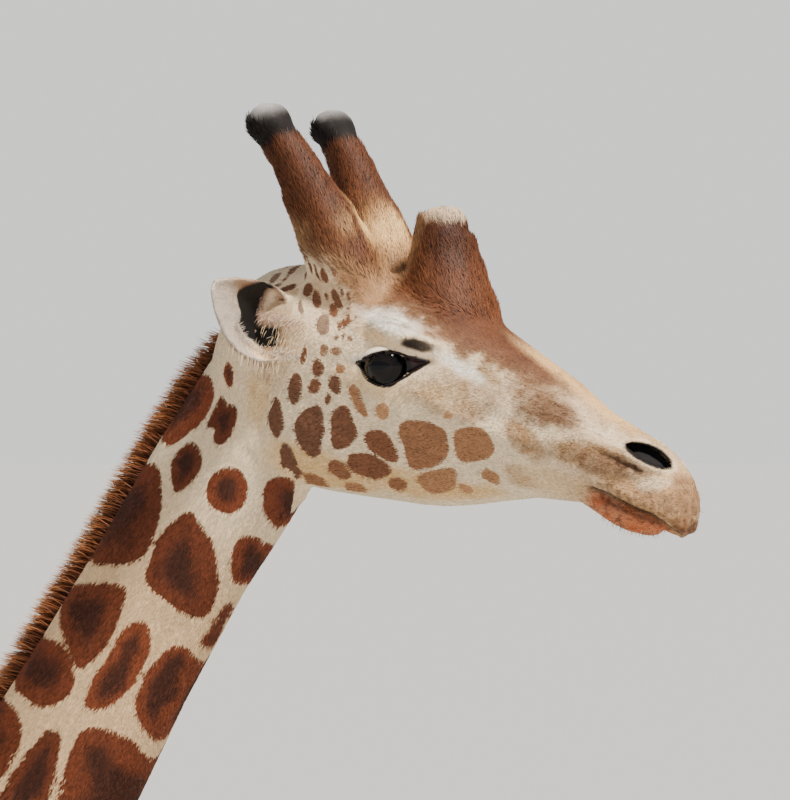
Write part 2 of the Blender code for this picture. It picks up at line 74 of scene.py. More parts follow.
# the hide is one skin, kept as two pieces that share a rim, as each has to stay light enough
FRONT_FLESH = ["head", "lower_jaw", "neck_upper", "ossicone_left", "ossicone_right", "ossicone_median",
               "ear_left", "ear_right"]
REAR_FLESH = ["trunk", "neck_lower", "neck_upper", "tail"]
REAR_FLESH += [f"leg_{end}_{side}_{half}"
               for end in ("front", "hind") for side in SIDES for half in ("upper", "lower")]
HIDE_CUT = 0.22                                    # how far down the neck the pieces meet
NO_PATCH = -0.05                                   # a field value well outside every patch
ON_HEAD = 0.16                                     # above this place down the neck lies the head


# =====================================================================  arrays

def np3(vector):
    """A vector as an array."""
    return np.array(vector[:], float)


def unit(rows):
    """Directions of length 1."""
    return rows / np.maximum(np.linalg.norm(rows, axis=-1, keepdims=True), 1e-9)


def ramp(value, start, end):
    """0 before start, 1 after end, smooth between; start may lie after end."""
    t = np.clip((value - start) / (end - start), 0, 1)
    return t * t * (3 - 2 * t)


def hill(value, centre, half):
    """A soft bump, 1 at centre and near 0 two halves away."""
    return np.exp(-((value - centre) / half) ** 2)


def head_frame(points):
    """Columns along, out to the left and above, in the head's frame."""
    return (points - np3(HEAD_AT)) @ np.array(HEAD_TURN)


def head_way(along, out, up):
    """A direction of the head's frame in the model's own axes."""
    return np.array(HEAD_TURN) @ np.array((along, out, up), float)


def neck_frame(points):
    """Columns down and across, in the neck's frame."""
    rel = points - np3(HEAD_AT)
    return np.stack([rel @ np3(NECK_DOWN), rel @ np3(NECK_ACROSS)], axis=1)


def read(layer, name, size=3, kind=np.float32):
    """One value of every item in a layer, in rows of that size."""
    data = np.empty(len(layer) * size, kind)
    layer.foreach_get(name, data)
    return data.reshape(-1, size)


def places_of(mesh):
    """The vertices' places."""
    return read(mesh.vertices, "co").astype(float)


def normals_of(mesh):
    """The vertices' normals."""
    return read(mesh.vertices, "normal").astype(float)


def triangles_of(mesh):
    """The three vertices of each triangle."""
    mesh.calc_loop_triangles()
    return read(mesh.loop_triangles, "vertices", 3, np.int32)


def move_to(mesh, points):
    """Puts a mesh's vertices at those places."""
    mesh.vertices.foreach_set("co", points.astype(np.float32).ravel())
    mesh.update()


def write_attribute(mesh, name, values):
    """One number or one colour at each vertex."""
    values = np.asarray(values, np.float32)
    if values.ndim == 1:
        mesh.attributes.new(name, "FLOAT", "POINT").data.foreach_set("value", values)
    else:
        full = np.ones((len(values), 4), np.float32)
        full[:, :3] = values
        mesh.attributes.new(name, "FLOAT_COLOR", "POINT").data.foreach_set("color", full.ravel())


def noise3(points, scale, seed=0):
    """Smooth value noise in -1..1, the same for the same place."""
    q = points * scale + seed * 17.31
    cell = np.floor(q).astype(np.int64)
    f = q - cell
    f = f * f * (3 - 2 * f)
    total = np.zeros(len(points))
    for corner in range(8):
        step = np.array([corner & 1, corner >> 1 & 1, corner >> 2 & 1])
        key = cell + step
        mixed = (key[:, 0] * 374761393 + key[:, 1] * 668265263 + key[:, 2] * 2147483647) & 0xFFFFFFFF
        mixed = ((mixed ^ (mixed >> 13)) * 1274126177) & 0xFFFFFFFF
        value = ((mixed ^ (mixed >> 16)) & 0xFFFF) / 32767.5 - 1
        total += value * np.prod(np.where(step == 1, f, 1 - f), axis=1)
    return total


# =====================================================================  the hide's shape

SWELL = 0.0006                                     # a hair's breadth that makes cut neighbours overlap


def solid_copy(names):
    """Slightly swollen copies of the nodes, as one mesh."""
    bm = bmesh.new()
    for name in names:
        one = bmesh.new()
        one.from_mesh(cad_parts[name].data)
        bmesh.ops.remove_doubles(one, verts=one.verts, dist=1e-6)
        one.normal_update()
        for vertex in one.verts:
            vertex.co += vertex.normal * SWELL
        mesh = bpy.data.meshes.new("copy")
        one.to_mesh(mesh)
        one.free()
        bm.from_mesh(mesh)
        bpy.data.meshes.remove(mesh)
    return bm


def shown_object(name, bm):
    """A bmesh as an object of the scene."""
    mesh = bpy.data.meshes.new(name)
    bm.to_mesh(mesh)
    bm.free()
    obj = bpy.data.objects.new(name, mesh)
    bpy.context.scene.collection.objects.link(obj)
    return obj


def remeshed(names, voxel):
    """A voxel skin round those nodes, as a bmesh."""
    obj = shown_object("melt", solid_copy(names))
    step = obj.modifiers.new("melt", "REMESH")
    step.mode = "VOXEL"
    step.voxel_size = voxel
    graph = bpy.context.evaluated_depsgraph_get()
    mesh = bpy.data.meshes.new_from_object(obj.evaluated_get(graph))
    bpy.data.objects.remove(obj)
    bm = bmesh.new()
    bm.from_mesh(mesh)
    bpy.data.meshes.remove(mesh)
    return bm


def open_rims(bm):
    """The open edges, as a list of closed rims."""
    left = {edge for edge in bm.edges if edge.is_boundary}
    rims = []
    while left:
        rim, grow = [], [left.pop()]
        while grow:
            edge = grow.pop()
            rim.append(edge)
            for vertex in edge.verts:
                for other in vertex.link_edges:
                    if other in left:
                        left.remove(other)
                        grow.append(other)
        rims.append(rim)
    return rims


NAPE_CUT = HEAD_AT + NECK_DOWN * 0.30 + NECK_ACROSS * 0.03
LOW_CUT = HEAD_AT + NECK_DOWN * 1.25


def hide_mesh():
    """Fine over the head, coarser down the neck, coarsest over the body, as one closed skin."""
    whole = bmesh.new()
    bands = (
        (FRONT_FLESH + ["eye_left", "eye_right"], 0.0040, ((NAPE_CUT, -NECK_DOWN, 0.003),)),
        (["head", "neck_upper", "neck_lower", "trunk"], 0.0085,
         ((NAPE_CUT, NECK_DOWN, 0.003), (LOW_CUT, -NECK_DOWN, 0.006))),
        (REAR_FLESH, 0.0155, ((LOW_CUT, NECK_DOWN, 0.006),)),
    )
    for names, voxel, cuts in bands:
        band = remeshed(names, voxel)
        for point, normal, gap in cuts:
            bmesh.ops.bisect_plane(band, geom=band.verts[:] + band.edges[:] + band.faces[:], dist=1e-6,
                                   plane_co=point + normal * gap, plane_no=normal, clear_inner=True)
        mesh = bpy.data.meshes.new("band")
        band.to_mesh(mesh)
        band.free()
        whole.from_mesh(mesh)
        bpy.data.meshes.remove(mesh)
    for cut in (NAPE_CUT, LOW_CUT):
        near = []
        for rim in open_rims(whole):
            middle = sum((edge.verts[0].co for edge in rim), Vector()) / len(rim)
            if abs((middle - cut).dot(NECK_DOWN)) < 0.03:
                near += rim
        bmesh.ops.bridge_loops(whole, edges=near)
    return whole


def near_features(points):
    """Round the eyes, and the front of the muzzle with mouth and nostrils."""
    h = head_frame(points)
    out = np.abs(h[:, 1])
    eye = (np.hypot(h[:, 0] - 0.216, h[:, 2] - 0.034) < 0.066) & (out > 0.06)
    muzzle = (h[:, 0] > 0.51) & (h[:, 2] < 0.065)
    return eye | muzzle


def refine(bm, wanted):
    """Halves the mesh where wanted says so."""
    chosen = wanted(np.array([vertex.co[:] for vertex in bm.verts]))
    edges = [edge for edge in bm.edges if chosen[edge.verts[0].index] and chosen[edge.verts[1].index]]
    bmesh.ops.subdivide_edges(bm, edges=edges, cuts=1, use_grid_fill=True)


def relaxed(points, edges, rounds, pulls=(0.50, -0.515)):
    """Smooths away facets without shrinking: each round pulls in, then pushes back a little more."""
    count = len(points)
    a, b = edges[:, 0], edges[:, 1]
    degree = np.bincount(a, minlength=count) + np.bincount(b, minlength=count)
    for _ in range(rounds):
        for pull in pulls:
            total = np.empty_like(points)
            for k in range(3):
                total[:, k] = np.bincount(a, points[b, k], count) + np.bincount(b, points[a, k], count)
            points = points + pull * (total / degree[:, None] - points)
    return points


# =====================================================================  sculpting

# the upper lid's edge, from the back corner to the front one: share of the way, height above the corners
UPPER_LID = ((-1.0, 0.0), (-0.6, 0.0040), (-0.35, 0.0082), (-0.10, 0.0114), (0.13, 0.0140), (0.25, 0.0132),
             (0.40, 0.0094), (0.53, 0.0068), (0.72, 0.0055), (0.90, 0.0026), (1.0, 0.0))


def lid_curve(t):
    """Heights of the upper and the lower lid's edge above and below the corners' level, t from -1 to 1."""
    reach = np.clip(1 - t * t, 0, None)
    upper = np.interp(t, *zip(*UPPER_LID))
    lower = 0.0310 * reach * (1 - 0.32 * ramp(t, -0.1, 0.6))
    return upper, lower


def lid_gap(points):
    """Below 0 inside the opening between the lids, in about metres, seen from the side."""
    rel = points - np3(HEAD_AT + LID_MIDDLE)
    t = rel[:, 0] / LID_HALF
    upper, lower = lid_curve(np.clip(t, -1, 1))
    level = np.where(rel[:, 2] > 0, rel[:, 2] - upper, -rel[:, 2] - lower)
    return np.where(np.abs(t) > 1, np.hypot(np.abs(rel[:, 0]) - LID_HALF, rel[:, 2]), level)


NOSTRIL = (0.585, 0.0395)                          # middle of the slit: along, above
NOSTRIL_HALF = 0.0335


def nostril_gap(h):
    """Below 0 inside the nostril's slit, which slants down to the front, and the place along it."""
    turn = math.radians(-7)
    x, z = h[:, 0] - NOSTRIL[0], h[:, 2] - NOSTRIL[1]
    along, up = x * math.cos(turn) + z * math.sin(turn), -x * math.sin(turn) + z * math.cos(turn)
    t = np.clip(along / NOSTRIL_HALF, -1, 1)
    gape = 0.0080 * (1 - t * t) ** 0.62
    level = np.abs(up - 0.0015 + 0.003 * t * t)
    past = np.abs(along) - NOSTRIL_HALF
    return np.where(past > 0, np.hypot(past, level), level - gape), along


def lip_line(u):
    """Level of the line between the lips."""
    return -0.0325 + 0.002 * hill(u, 0.560, 0.030) - 0.017 * ramp(u, 0.622, 0.664)


EAR_ROOT = (0.036, 0.078, 0.008)
EAR_WAY = (-0.12, 0.93, 0.36)
EAR_LENGTH = 0.188
# the hollow of the ear, painted black as the shade deep in its cup: along it from the root, and down across it
EAR_HOLLOW = [(0.122, -0.014), (0.104, -0.001), (0.080, 0.006), (0.092, 0.019), (0.060, 0.027), (0.032, 0.027),
              (0.012, 0.033), (0.015, 0.021), (0.028, 0.005), (0.040, -0.012), (0.050, -0.032), (0.062, -0.048),
              (0.084, -0.046), (0.102, -0.030)]


def ear_frame(points):
    """Share of the ear's length, place across it (down), and depth towards the open side, for both ears."""
    mirrored = np.stack([points[:, 0], np.abs(points[:, 1]), points[:, 2]], axis=1)
    length = unit(np.array(EAR_WAY))
    front = np.array([1.0, 0, -0.10])
    front = unit(front - length * (front @ length))
    down = np.cross(length, front)
    rel = mirrored - (np3(HEAD_AT) + head_way(*EAR_ROOT))
    return rel @ length / EAR_LENGTH, rel @ down, rel @ front


def hollow_depth(share, down):
    """How far inside the outline of the ear's hollow, which is painted dark as shade, a place lies."""
    return inside_depth(np.stack([share * EAR_LENGTH, down], axis=1), rounded(EAR_HOLLOW))


def room_behind(mesh, places, ways):
    """How far the hide may sink from each place along its way before it meets the hide again."""
    bm = bmesh.new()
    bm.from_mesh(mesh)
    tree = BVHTree.FromBMesh(bm)
    bm.free()
    found = [tree.ray_cast(Vector(place) + Vector(way) * 0.001, Vector(way))
             for place, way in zip(places, ways)]
    return np.array([0.05 if hit[0] is None else hit[3] for hit in found])


def sculpt_skull(points, normals):
    """Brow, cheek bones, lips and folds as a shift along the hide's normals, and how deep each crease is."""
    h = head_frame(points)
    u, out, w = h[:, 0], np.abs(h[:, 1]), h[:, 2]
    side = ramp(out, 0.02, 0.06)

    def raised(amount, along, half_length, level, half_height):
        return amount * hill(u, along, half_length) * hill(w, level, half_height) * side

    # the long hollow in front of the eye, and the cheek bone's ridge below it
    push = raised(-0.0070, 0.335, 0.055, 0.058, 0.026)
    bone = 0.010 - 0.16 * (u - 0.23)
    push += 0.0040 * hill(w, bone, 0.011) * ramp(u, 0.24, 0.30) * ramp(u, 0.47, 0.38) * side
    push -= 0.0040 * hill(w, bone - 0.036, 0.018) * ramp(u, 0.24, 0.32) * ramp(u, 0.50, 0.40) * side
    # masseter, the groove behind the jaw, and the temple
    push += raised(0.0040, 0.150, 0.055, -0.080, 0.045)
    push += raised(-0.0055, 0.050 + 0.25 * (w + 0.08), 0.014, -0.075, 0.050)
    push += raised(-0.0050, 0.105, 0.032, 0.062, 0.026)
    # brow over the eye, and the dip above it
    push += raised(0.0075, 0.205, 0.050, 0.071 + 0.10 * (u - 0.2), 0.014)
    push += raised(-0.0030, 0.225, 0.050, 0.098, 0.010)
    # creases over the upper lid
    level = w - 0.060 - 0.018 * np.clip(1 - ((u - 0.215) / 0.062) ** 2, 0, 1) - 0.15 * (u - 0.215)
    fade = ramp(out, 0.060, 0.080) * hill(u, 0.205, 0.052)
    fade *= ramp(level, 0.000, 0.006) * ramp(level, 0.048, 0.030)
    crease = np.sin(level / 0.0078 * math.tau + noise3(points, 40) * 0.8)
    push += 0.0019 * crease * fade
    # thin folds run forward from the eye over the nose
    fold = w - 0.052 + 0.045 * (u - 0.42)
    run = hill(u, 0.460, 0.070) * hill(w, 0.055 - 0.2 * (u - 0.46), 0.012) * side
    folds = np.sin(fold / 0.0070 * math.tau + noise3(points, 30) * 0.8)
    push += 0.0012 * folds * run
    # lips: the groove between them, the upper one full and overhanging
    line = lip_line(u)
    at_mouth = ramp(u, 0.512, 0.530) * ramp(out, 0.001, 0.008) * ramp(u, 0.672, 0.660)
    for amount, lift, half in ((-0.0060, 0.0, 0.0032), (0.0026, 0.012, 0.008), (0.0016, -0.012, 0.007)):
        push += amount * hill(w, line + lift, half) * at_mouth
    # the fold behind and under the nostril
    wing = ramp(out, 0.02, 0.035)
    push -= 0.0050 * hill(w, 0.0195, 0.0045) * hill(u, 0.562, 0.036) * wing
    push += 0.0022 * hill(w, 0.0280, 0.0045) * hill(u, 0.560, 0.040) * wing
    # horns are a little knobbly
    push += 0.0016 * noise3(points, 45, 5) * ramp(w, 0.13, 0.17)
    # how deep each crease and fold lies, which the markings paint darker as the shade in them
    crease_shade = np.clip(-crease, 0, 1) * fade + np.clip(-folds, 0, 1) * run
    # how near the groove between the lips each place lies, which the markings paint dark as the shade in it
    return points + normals * push[:, None], crease_shade, at_mouth * hill(w, line, 0.0028)


NOSTRIL_DEPTH = 0.021


def sink_nostrils(moved, normals, out):
    """A slit in a flared wing, deep enough to be dark inside."""
    h = head_frame(moved)
    gap, along = nostril_gap(h)
    at_nose = ramp(out, 0.012, 0.020)
    inside = ramp(gap, 0.0008, -0.0030) * at_nose
    beside = ramp(np.abs(along), NOSTRIL_HALF + 0.008, NOSTRIL_HALF - 0.006)
    rim = hill(gap, 0.0050, 0.0035) * at_nose * beside
    ones = np.ones(len(moved))
    inward = unit(np.stack([-0.50 * ones, -np.sign(h[:, 1]), -0.25 * ones], axis=1)) @ np.array(HEAD_TURN).T
    return moved + normals * (0.0022 * rim)[:, None] + inward * (NOSTRIL_DEPTH * inside)[:, None], inside


def cup_ears(mesh, points, normals, moved):
    """The ear's cup runs deep into its root; it stops before it meets the ear's back."""
    share, down, front = ear_frame(points)
    deep = hollow_depth(share, down)
    within = ramp(share, 0.05, 0.09) * ramp(front, 0.018, 0.009) * ramp(front, -0.055, -0.045)
    facing = ramp(normals[:, 0], -0.20, 0.00) * within
    at_root = ramp(normals[:, 0], -0.36, -0.24) * ramp(share, 0.42, 0.30) * within
    cup = ramp(deep, -0.003, 0.009) * facing
    side = np.sign(points[:, 1])
    inner = unit(np.stack([np.ones(len(side)), 0.25 * side, np.full(len(side), -0.1)], axis=1))
    cupped = np.flatnonzero(cup > 0.01)
    room = room_behind(mesh, points[cupped], -inner[cupped])
    depth = cup * (0.0040 + 0.0130 * ramp(share, 0.40, 0.18))
    depth[cupped] = np.minimum(depth[cupped], np.maximum(room - 0.003, 0) * 0.8)
    hollow = ramp(deep, -0.0015, 0.0015) * np.maximum(facing, at_root)
    return moved - inner * depth[:, None], hollow, deep


LID_THICKNESS = 0.0030


def open_lids(moved, side_of):
    """The hide lies on the eyeball outside the opening between the lids and dives under it inside."""
    gap = lid_gap(moved)
    out = np.abs(head_frame(moved)[:, 1])
    for side, centre in EYES.items():
        here = (side_of == SIDES[side]) & (out > 0.055)
        reach = moved - np3(centre)
        far = np.linalg.norm(reach, axis=1)
        lidded = EYE_RADIUS + LID_THICKNESS + 0.0014 * hill(gap, 0.004, 0.004)
        outside = here & (gap >= 0) & (far < EYE_RADIUS * 1.6)
        close = outside & (np.abs(far - lidded) < 0.010)
        change = np.where(outside, np.maximum(lidded - far, 0), 0)
        change -= np.where(close, np.maximum(far - lidded, 0) * ramp(gap, 0.012, 0.0), 0)
        sunk = here & (gap < 0)
        change = np.where(sunk, -0.0035 - 0.0075 * ramp(gap, -0.0005, -0.0075), change)
        way = np.where(sunk[:, None], np.array([0, SIDES[side], 0.0]), unit(reach))
        moved = moved + way * change[:, None]
    return moved, np.where(out > 0.055, gap, 1.0)


def sculpt(mesh, points, normals):
    """The head's features, and what the markings need to know of them at each vertex."""
    h = head_frame(points)
    out = np.abs(h[:, 1])
    moved, crease_shade, mouth = sculpt_skull(points, normals)
    side_of = np.sign(head_frame(moved)[:, 1])
    moved, nostril = sink_nostrils(moved, normals, out)
    moved, hollow, deep = cup_ears(mesh, points, normals, moved)
    # the middle horn's top is a low dome
    level = np.hypot(h[:, 0] - 0.171, out)
    dome = ramp(level, 0.016, 0.042) * ramp(h[:, 2], 0.212, 0.232) * (level < 0.06)
    moved = moved - head_way(0, 0, 1) * (0.010 * dome)[:, None]
    moved, lid = open_lids(moved, side_of)
    return moved, {"nostril": nostril, "crease_shade": crease_shade, "hollow": hollow, "deep": deep, "lid": lid,
                   "mouth": mouth}


# =====================================================================  markings

# outlines of the patches on the upper neck: how far down it, how far across it from crest to throat
NECK_OUTLINES = [
    [(0.098, -0.050), (0.104, -0.022), (0.132, -0.007), (0.161, -0.008), (0.188, -0.026), (0.222, -0.045),
     (0.215, -0.120), (0.140, -0.120)],
    [(0.058, -0.018), (0.067, 0.002), (0.089, 0.008), (0.094, -0.003), (0.076, -0.018)],
    [(0.107, -0.007), (0.116, 0.006), (0.103, 0.024), (0.123, 0.038), (0.147, 0.043), (0.174, 0.034),
     (0.171, 0.019), (0.154, 0.013), (0.164, 0.000), (0.133, -0.004)],
    [(0.186, -0.009), (0.191, 0.014), (0.217, 0.026), (0.247, 0.022), (0.265, 0.012), (0.250, -0.008),
     (0.223, -0.026), (0.197, -0.021)],
    [(0.185, 0.059), (0.184, 0.080), (0.203, 0.098), (0.228, 0.102), (0.250, 0.090), (0.252, 0.066),
     (0.233, 0.047), (0.209, 0.041)],
    [(0.240, -0.042), (0.279, -0.001), (0.317, 0.016), (0.378, 0.014), (0.436, -0.076), (0.440, -0.130),
     (0.270, -0.130), (0.262, -0.065)],
    [(0.264, 0.042), (0.280, 0.072), (0.299, 0.100), (0.342, 0.120), (0.398, 0.129), (0.404, 0.103),
     (0.400, 0.058), (0.385, 0.031), (0.347, 0.019), (0.308, 0.023)],
    [(0.260, 0.119), (0.261, 0.138), (0.279, 0.152), (0.311, 0.156), (0.341, 0.134), (0.324, 0.124),
     (0.293, 0.112), (0.271, 0.110)],
    [(0.178, 0.108), (0.160, 0.132), (0.165, 0.175), (0.209, 0.180), (0.246, 0.150), (0.222, 0.124)],
    [(0.468, -0.080), (0.440, -0.038), (0.406, 0.015), (0.441, 0.029), (0.488, 0.038), (0.552, 0.020),
     (0.540, -0.003), (0.524, -0.054), (0.502, -0.086)],
    [(0.546, -0.062), (0.533, -0.018), (0.559, 0.018), (0.592, 0.024), (0.624, 0.004), (0.635, -0.032),
     (0.638, -0.090), (0.598, -0.110), (0.560, -0.100)],
    [(0.438, 0.053), (0.446, 0.072), (0.473, 0.089), (0.518, 0.097), (0.572, 0.084), (0.597, 0.045),
     (0.557, 0.041), (0.506, 0.044), (0.466, 0.043)],
    [(0.456, 0.101), (0.442, 0.121), (0.452, 0.136), (0.490, 0.142), (0.545, 0.145), (0.597, 0.141),
     (0.578, 0.121), (0.548, 0.105), (0.503, 0.100)],
    [(0.360, 0.1330), (0.375, 0.175), (0.435, 0.175), (0.446, 0.1320), (0.400, 0.1340)],
    [(0.668, -0.130), (0.652, -0.037), (0.672, -0.006), (0.715, -0.001), (0.760, -0.003), (0.795, -0.040),
     (0.795, -0.130)],
    [(0.650, 0.014), (0.634, 0.036), (0.665, 0.053), (0.732, 0.077), (0.800, 0.052), (0.800, 0.012),
     (0.745, 0.008), (0.684, 0.009)],
    [(0.621, 0.058), (0.600, 0.086), (0.598, 0.120), (0.622, 0.146), (0.640, 0.175), (0.700, 0.180),
     (0.790, 0.165), (0.800, 0.105), (0.727, 0.084), (0.662, 0.064)],
]
# outlines of the larger spots on the cheek: along, above; each with its darkness
FACE_OUTLINES = [
    (0.90, [(0.133, -0.060), (0.145, -0.074), (0.153, -0.099), (0.149, -0.134), (0.128, -0.132),
            (0.111, -0.114), (0.104, -0.099), (0.115, -0.076)]),
    (0.80, [(0.165, -0.048), (0.179, -0.052), (0.188, -0.068), (0.198, -0.077), (0.193, -0.097),
            (0.172, -0.114), (0.162, -0.099), (0.156, -0.066)]),
    (0.70, [(0.211, -0.069), (0.230, -0.061), (0.246, -0.067), (0.262, -0.096), (0.243, -0.100),
            (0.216, -0.096), (0.209, -0.081)]),
    (0.75, [(0.197, -0.108), (0.215, -0.101), (0.244, -0.105), (0.254, -0.115), (0.232, -0.134),
            (0.202, -0.137), (0.192, -0.123)]),
    (0.55, [(0.249, -0.047), (0.268, -0.032), (0.301, -0.025), (0.312, -0.033), (0.326, -0.067),
            (0.299, -0.091), (0.275, -0.099), (0.265, -0.075)]),
    (0.65, [(0.166, -0.132), (0.189, -0.124), (0.197, -0.138), (0.178, -0.156), (0.168, -0.148)]),
    (0.60, [(0.245, -0.132), (0.261, -0.118), (0.276, -0.122), (0.267, -0.137), (0.247, -0.143)]),
    (0.42, [(0.281, -0.111), (0.312, -0.088), (0.340, -0.075), (0.341, -0.100), (0.317, -0.121),
            (0.299, -0.123)]),
    (0.45, [(0.175, -0.163), (0.204, -0.149), (0.216, -0.157), (0.183, -0.177)]),
    (0.55, [(0.115, -0.170), (0.141, -0.162), (0.158, -0.175), (0.147, -0.188), (0.124, -0.188)]),
    (0.95, [(0.095, -0.130), (0.108, -0.135), (0.119, -0.158), (0.111, -0.181), (0.100, -0.182),
            (0.086, -0.170), (0.091, -0.142)]),
    (0.90, [(0.060, -0.079), (0.070, -0.078), (0.085, -0.098), (0.089, -0.121), (0.080, -0.131),
            (0.065, -0.116), (0.057, -0.094)]),
    (0.90, [(0.087, -0.027), (0.098, -0.040), (0.102, -0.063), (0.095, -0.079), (0.085, -0.069),
            (0.081, -0.045)]),
    (0.85, [(0.106, -0.003), (0.117, -0.002), (0.125, -0.014), (0.121, -0.027), (0.108, -0.022)]),
    (0.90, [(0.138, -0.016), (0.152, -0.015), (0.161, -0.030), (0.153, -0.038), (0.139, -0.031)]),
    (0.42, [(0.171, -0.013), (0.188, -0.020), (0.209, -0.049), (0.203, -0.053), (0.183, -0.041),
            (0.171, -0.028)]),
    (0.45, [(0.322, -0.028), (0.344, -0.011), (0.371, -0.010), (0.383, -0.029), (0.374, -0.049),
            (0.349, -0.064), (0.332, -0.058)]),
]
# small spots on the face: along, above, half length, half height, turn in degrees, darkness
FACE_SPOTS = [
    (0.119, -0.040, 0.0095, 0.0105, 0, 0.80), (0.144, -0.048, 0.0045, 0.0085, 0, 0.85),
    (0.088, -0.006, 0.0045, 0.0120, 6, 0.75), (0.149, -0.002, 0.0065, 0.0075, 0, 0.35),
    (0.226, -0.035, 0.0090, 0.0120, 0, 0.12), (0.116, 0.013, 0.0065, 0.0075, 0, 0.38),
    (0.134, 0.019, 0.0085, 0.0060, 0, 0.38), (0.384, -0.070, 0.0130, 0.0085, -10, 0.36),
    (0.352, -0.100, 0.0090, 0.0060, 0, 0.30), (0.312, -0.008, 0.0060, 0.0050, 0, 0.25),
    # between ear and horn
    (0.036, 0.120, 0.0026, 0.0075, 30, 0.85), (0.002, 0.090, 0.0050, 0.0085, 26, 0.60),
    (-0.015, 0.088, 0.0020, 0.0045, 10, 0.70), (-0.012, 0.072, 0.0056, 0.0075, -10, 0.45),
    (0.005, 0.078, 0.0026, 0.0040, -10, 0.60), (0.000, 0.064, 0.0080, 0.0036, 50, 0.95),
    (0.021, 0.069, 0.0125, 0.0048, 46, 0.95), (0.022, 0.052, 0.0085, 0.0026, 12, 0.50),
    (0.030, 0.099, 0.0036, 0.0135, 31, 0.85), (0.050, 0.112, 0.0030, 0.0120, 36, 0.85),
    (0.066, 0.107, 0.0024, 0.0115, 44, 0.85), (0.078, 0.109, 0.0048, 0.0110, 36, 0.80),
    (0.091, 0.117, 0.0030, 0.0060, 30, 0.60), (0.053, 0.078, 0.0088, 0.0100, 20, 0.85),
    (0.073, 0.072, 0.0070, 0.0115, 34, 0.85), (0.087, 0.082, 0.0030, 0.0052, 36, 0.80),
    # between ear and eye
    (0.104, 0.083, 0.0058, 0.0150, 40, 0.88), (0.107, 0.097, 0.0025, 0.0078, 36, 0.80),
    (0.119, 0.094, 0.0026, 0.0068, 31, 0.75), (0.103, 0.066, 0.0048, 0.0095, 44, 0.72),
    (0.056, 0.053, 0.0036, 0.0115, 40, 0.30), (0.125, 0.079, 0.0016, 0.0040, 20, 0.60),
    (0.130, 0.064, 0.0025, 0.0100, 36, 0.75), (0.140, 0.068, 0.0020, 0.0042, 0, 0.60),
    (0.100, 0.044, 0.0085, 0.0155, 28, 0.32), (0.128, 0.055, 0.0030, 0.0080, 40, 0.75),
    (0.122, 0.050, 0.0030, 0.0080, 40, 0.65), (0.134, 0.041, 0.0018, 0.0062, 28, 0.60),
    (0.141, 0.042, 0.0016, 0.0048, 24, 0.60), (0.149, 0.042, 0.0018, 0.0038, 14, 0.55),
    (0.126, 0.035, 0.0032, 0.0036, 0, 0.40),
]
# soft zones of another tone on nose and muzzle: along, above, half length, half height, turn, tone, strength
ZONES = [
    (0.425, 0.051, 0.058, 0.020, -10, "smoke", 0.95), (0.340, 0.036, 0.036, 0.028, 0, "smoke", 0.60),
    (0.440, 0.047, 0.036, 0.014, -10, "umber", 0.75), (0.414, 0.031, 0.028, 0.012, -10, "umber", 0.65),
    (0.341, 0.063, 0.018, 0.009, -20, "tan", 0.55), (0.420, -0.003, 0.036, 0.018, -26, "tan", 0.85),
    (0.338, 0.004, 0.022, 0.014, 0, "smoke", 0.70), (0.296, 0.004, 0.030, 0.016, 0, "smoke", 0.50),
    (0.272, 0.014, 0.034, 0.014, 8, "tan", 0.45), (0.300, 0.040, 0.028, 0.018, 0, "tan", 0.42),
    (0.300, 0.012, 0.045, 0.020, 0, "yellow", 0.25), (0.424, -0.055, 0.024, 0.013, -8, "tan", 0.60),
    # the yellow wash at 0.395 along and 0.088 below is painted warm light bounced up under the jaw
    (0.395, -0.088, 0.022, 0.008, -6, "yellow", 0.60), (0.515, 0.010, 0.065, 0.020, 8, "tan", 0.90),
    (0.535, 0.002, 0.052, 0.017, -4, "smoke", 0.65), (0.625, 0.004, 0.034, 0.020, 0, "sand", 0.70),
    (0.590, -0.016, 0.050, 0.018, -6, "sand", 0.90), (0.650, -0.008, 0.034, 0.044, 30, "sand", 0.90),
    # the dark brown wash at 0.562 along and 0.0185 above lies in the fold under the nostril: painted shade
    (0.524, 0.046, 0.036, 0.013, -4, "face", 0.90), (0.562, 0.0185, 0.036, 0.0046, 0, "dark_brown", 0.85),
    (0.610, 0.009, 0.024, 0.010, 24, "face", 0.70), (0.648, 0.008, 0.028, 0.008, -47, "umber", 0.60),
    (0.632, -0.010, 0.036, 0.012, -8, "smoke", 0.70), (0.634, -0.030, 0.036, 0.007, -12, "sand", 0.90),
    (0.664, -0.034, 0.014, 0.013, -20, "brown", 0.75), (0.600, -0.030, 0.030, 0.006, 0, "tan", 0.60),
    # the yellow washes at 0.300 and 0.390 along, under the jaw, and those at 0.150 and 0.035 along, on the
    # throat, are painted warm light bounced up from below
    (0.470, -0.045, 0.060, 0.020, 6, "yellow", 0.35), (0.300, -0.122, 0.120, 0.022, 4, "yellow", 0.90),
    (0.390, -0.104, 0.090, 0.014, 0, "yellow", 0.80),
    (0.150, -0.155, 0.080, 0.034, 0, "yellow", 0.90), (0.035, -0.080, 0.018, 0.050, 10, "yellow", 0.60),
    (0.185, 0.058, 0.040, 0.010, 0, "yellow", 0.45), (0.200, -0.006, 0.060, 0.016, 0, "yellow", 0.40),
    (0.105, 0.085, 0.050, 0.034, 0, "tan", 0.40), (0.060, 0.010, 0.030, 0.030, 0, "yellow", 0.25),
    # the white wash at 0.192 along and 0.086 above is the pale brow, made whiter still as painted light on the
    # lit brow ridge
    (0.262, 0.092, 0.034, 0.010, 0, "tan", 0.50), (0.192, 0.086, 0.052, 0.014, 4, "white", 0.95),
    (0.305, 0.060, 0.036, 0.010, -14, "white", 0.70),
]

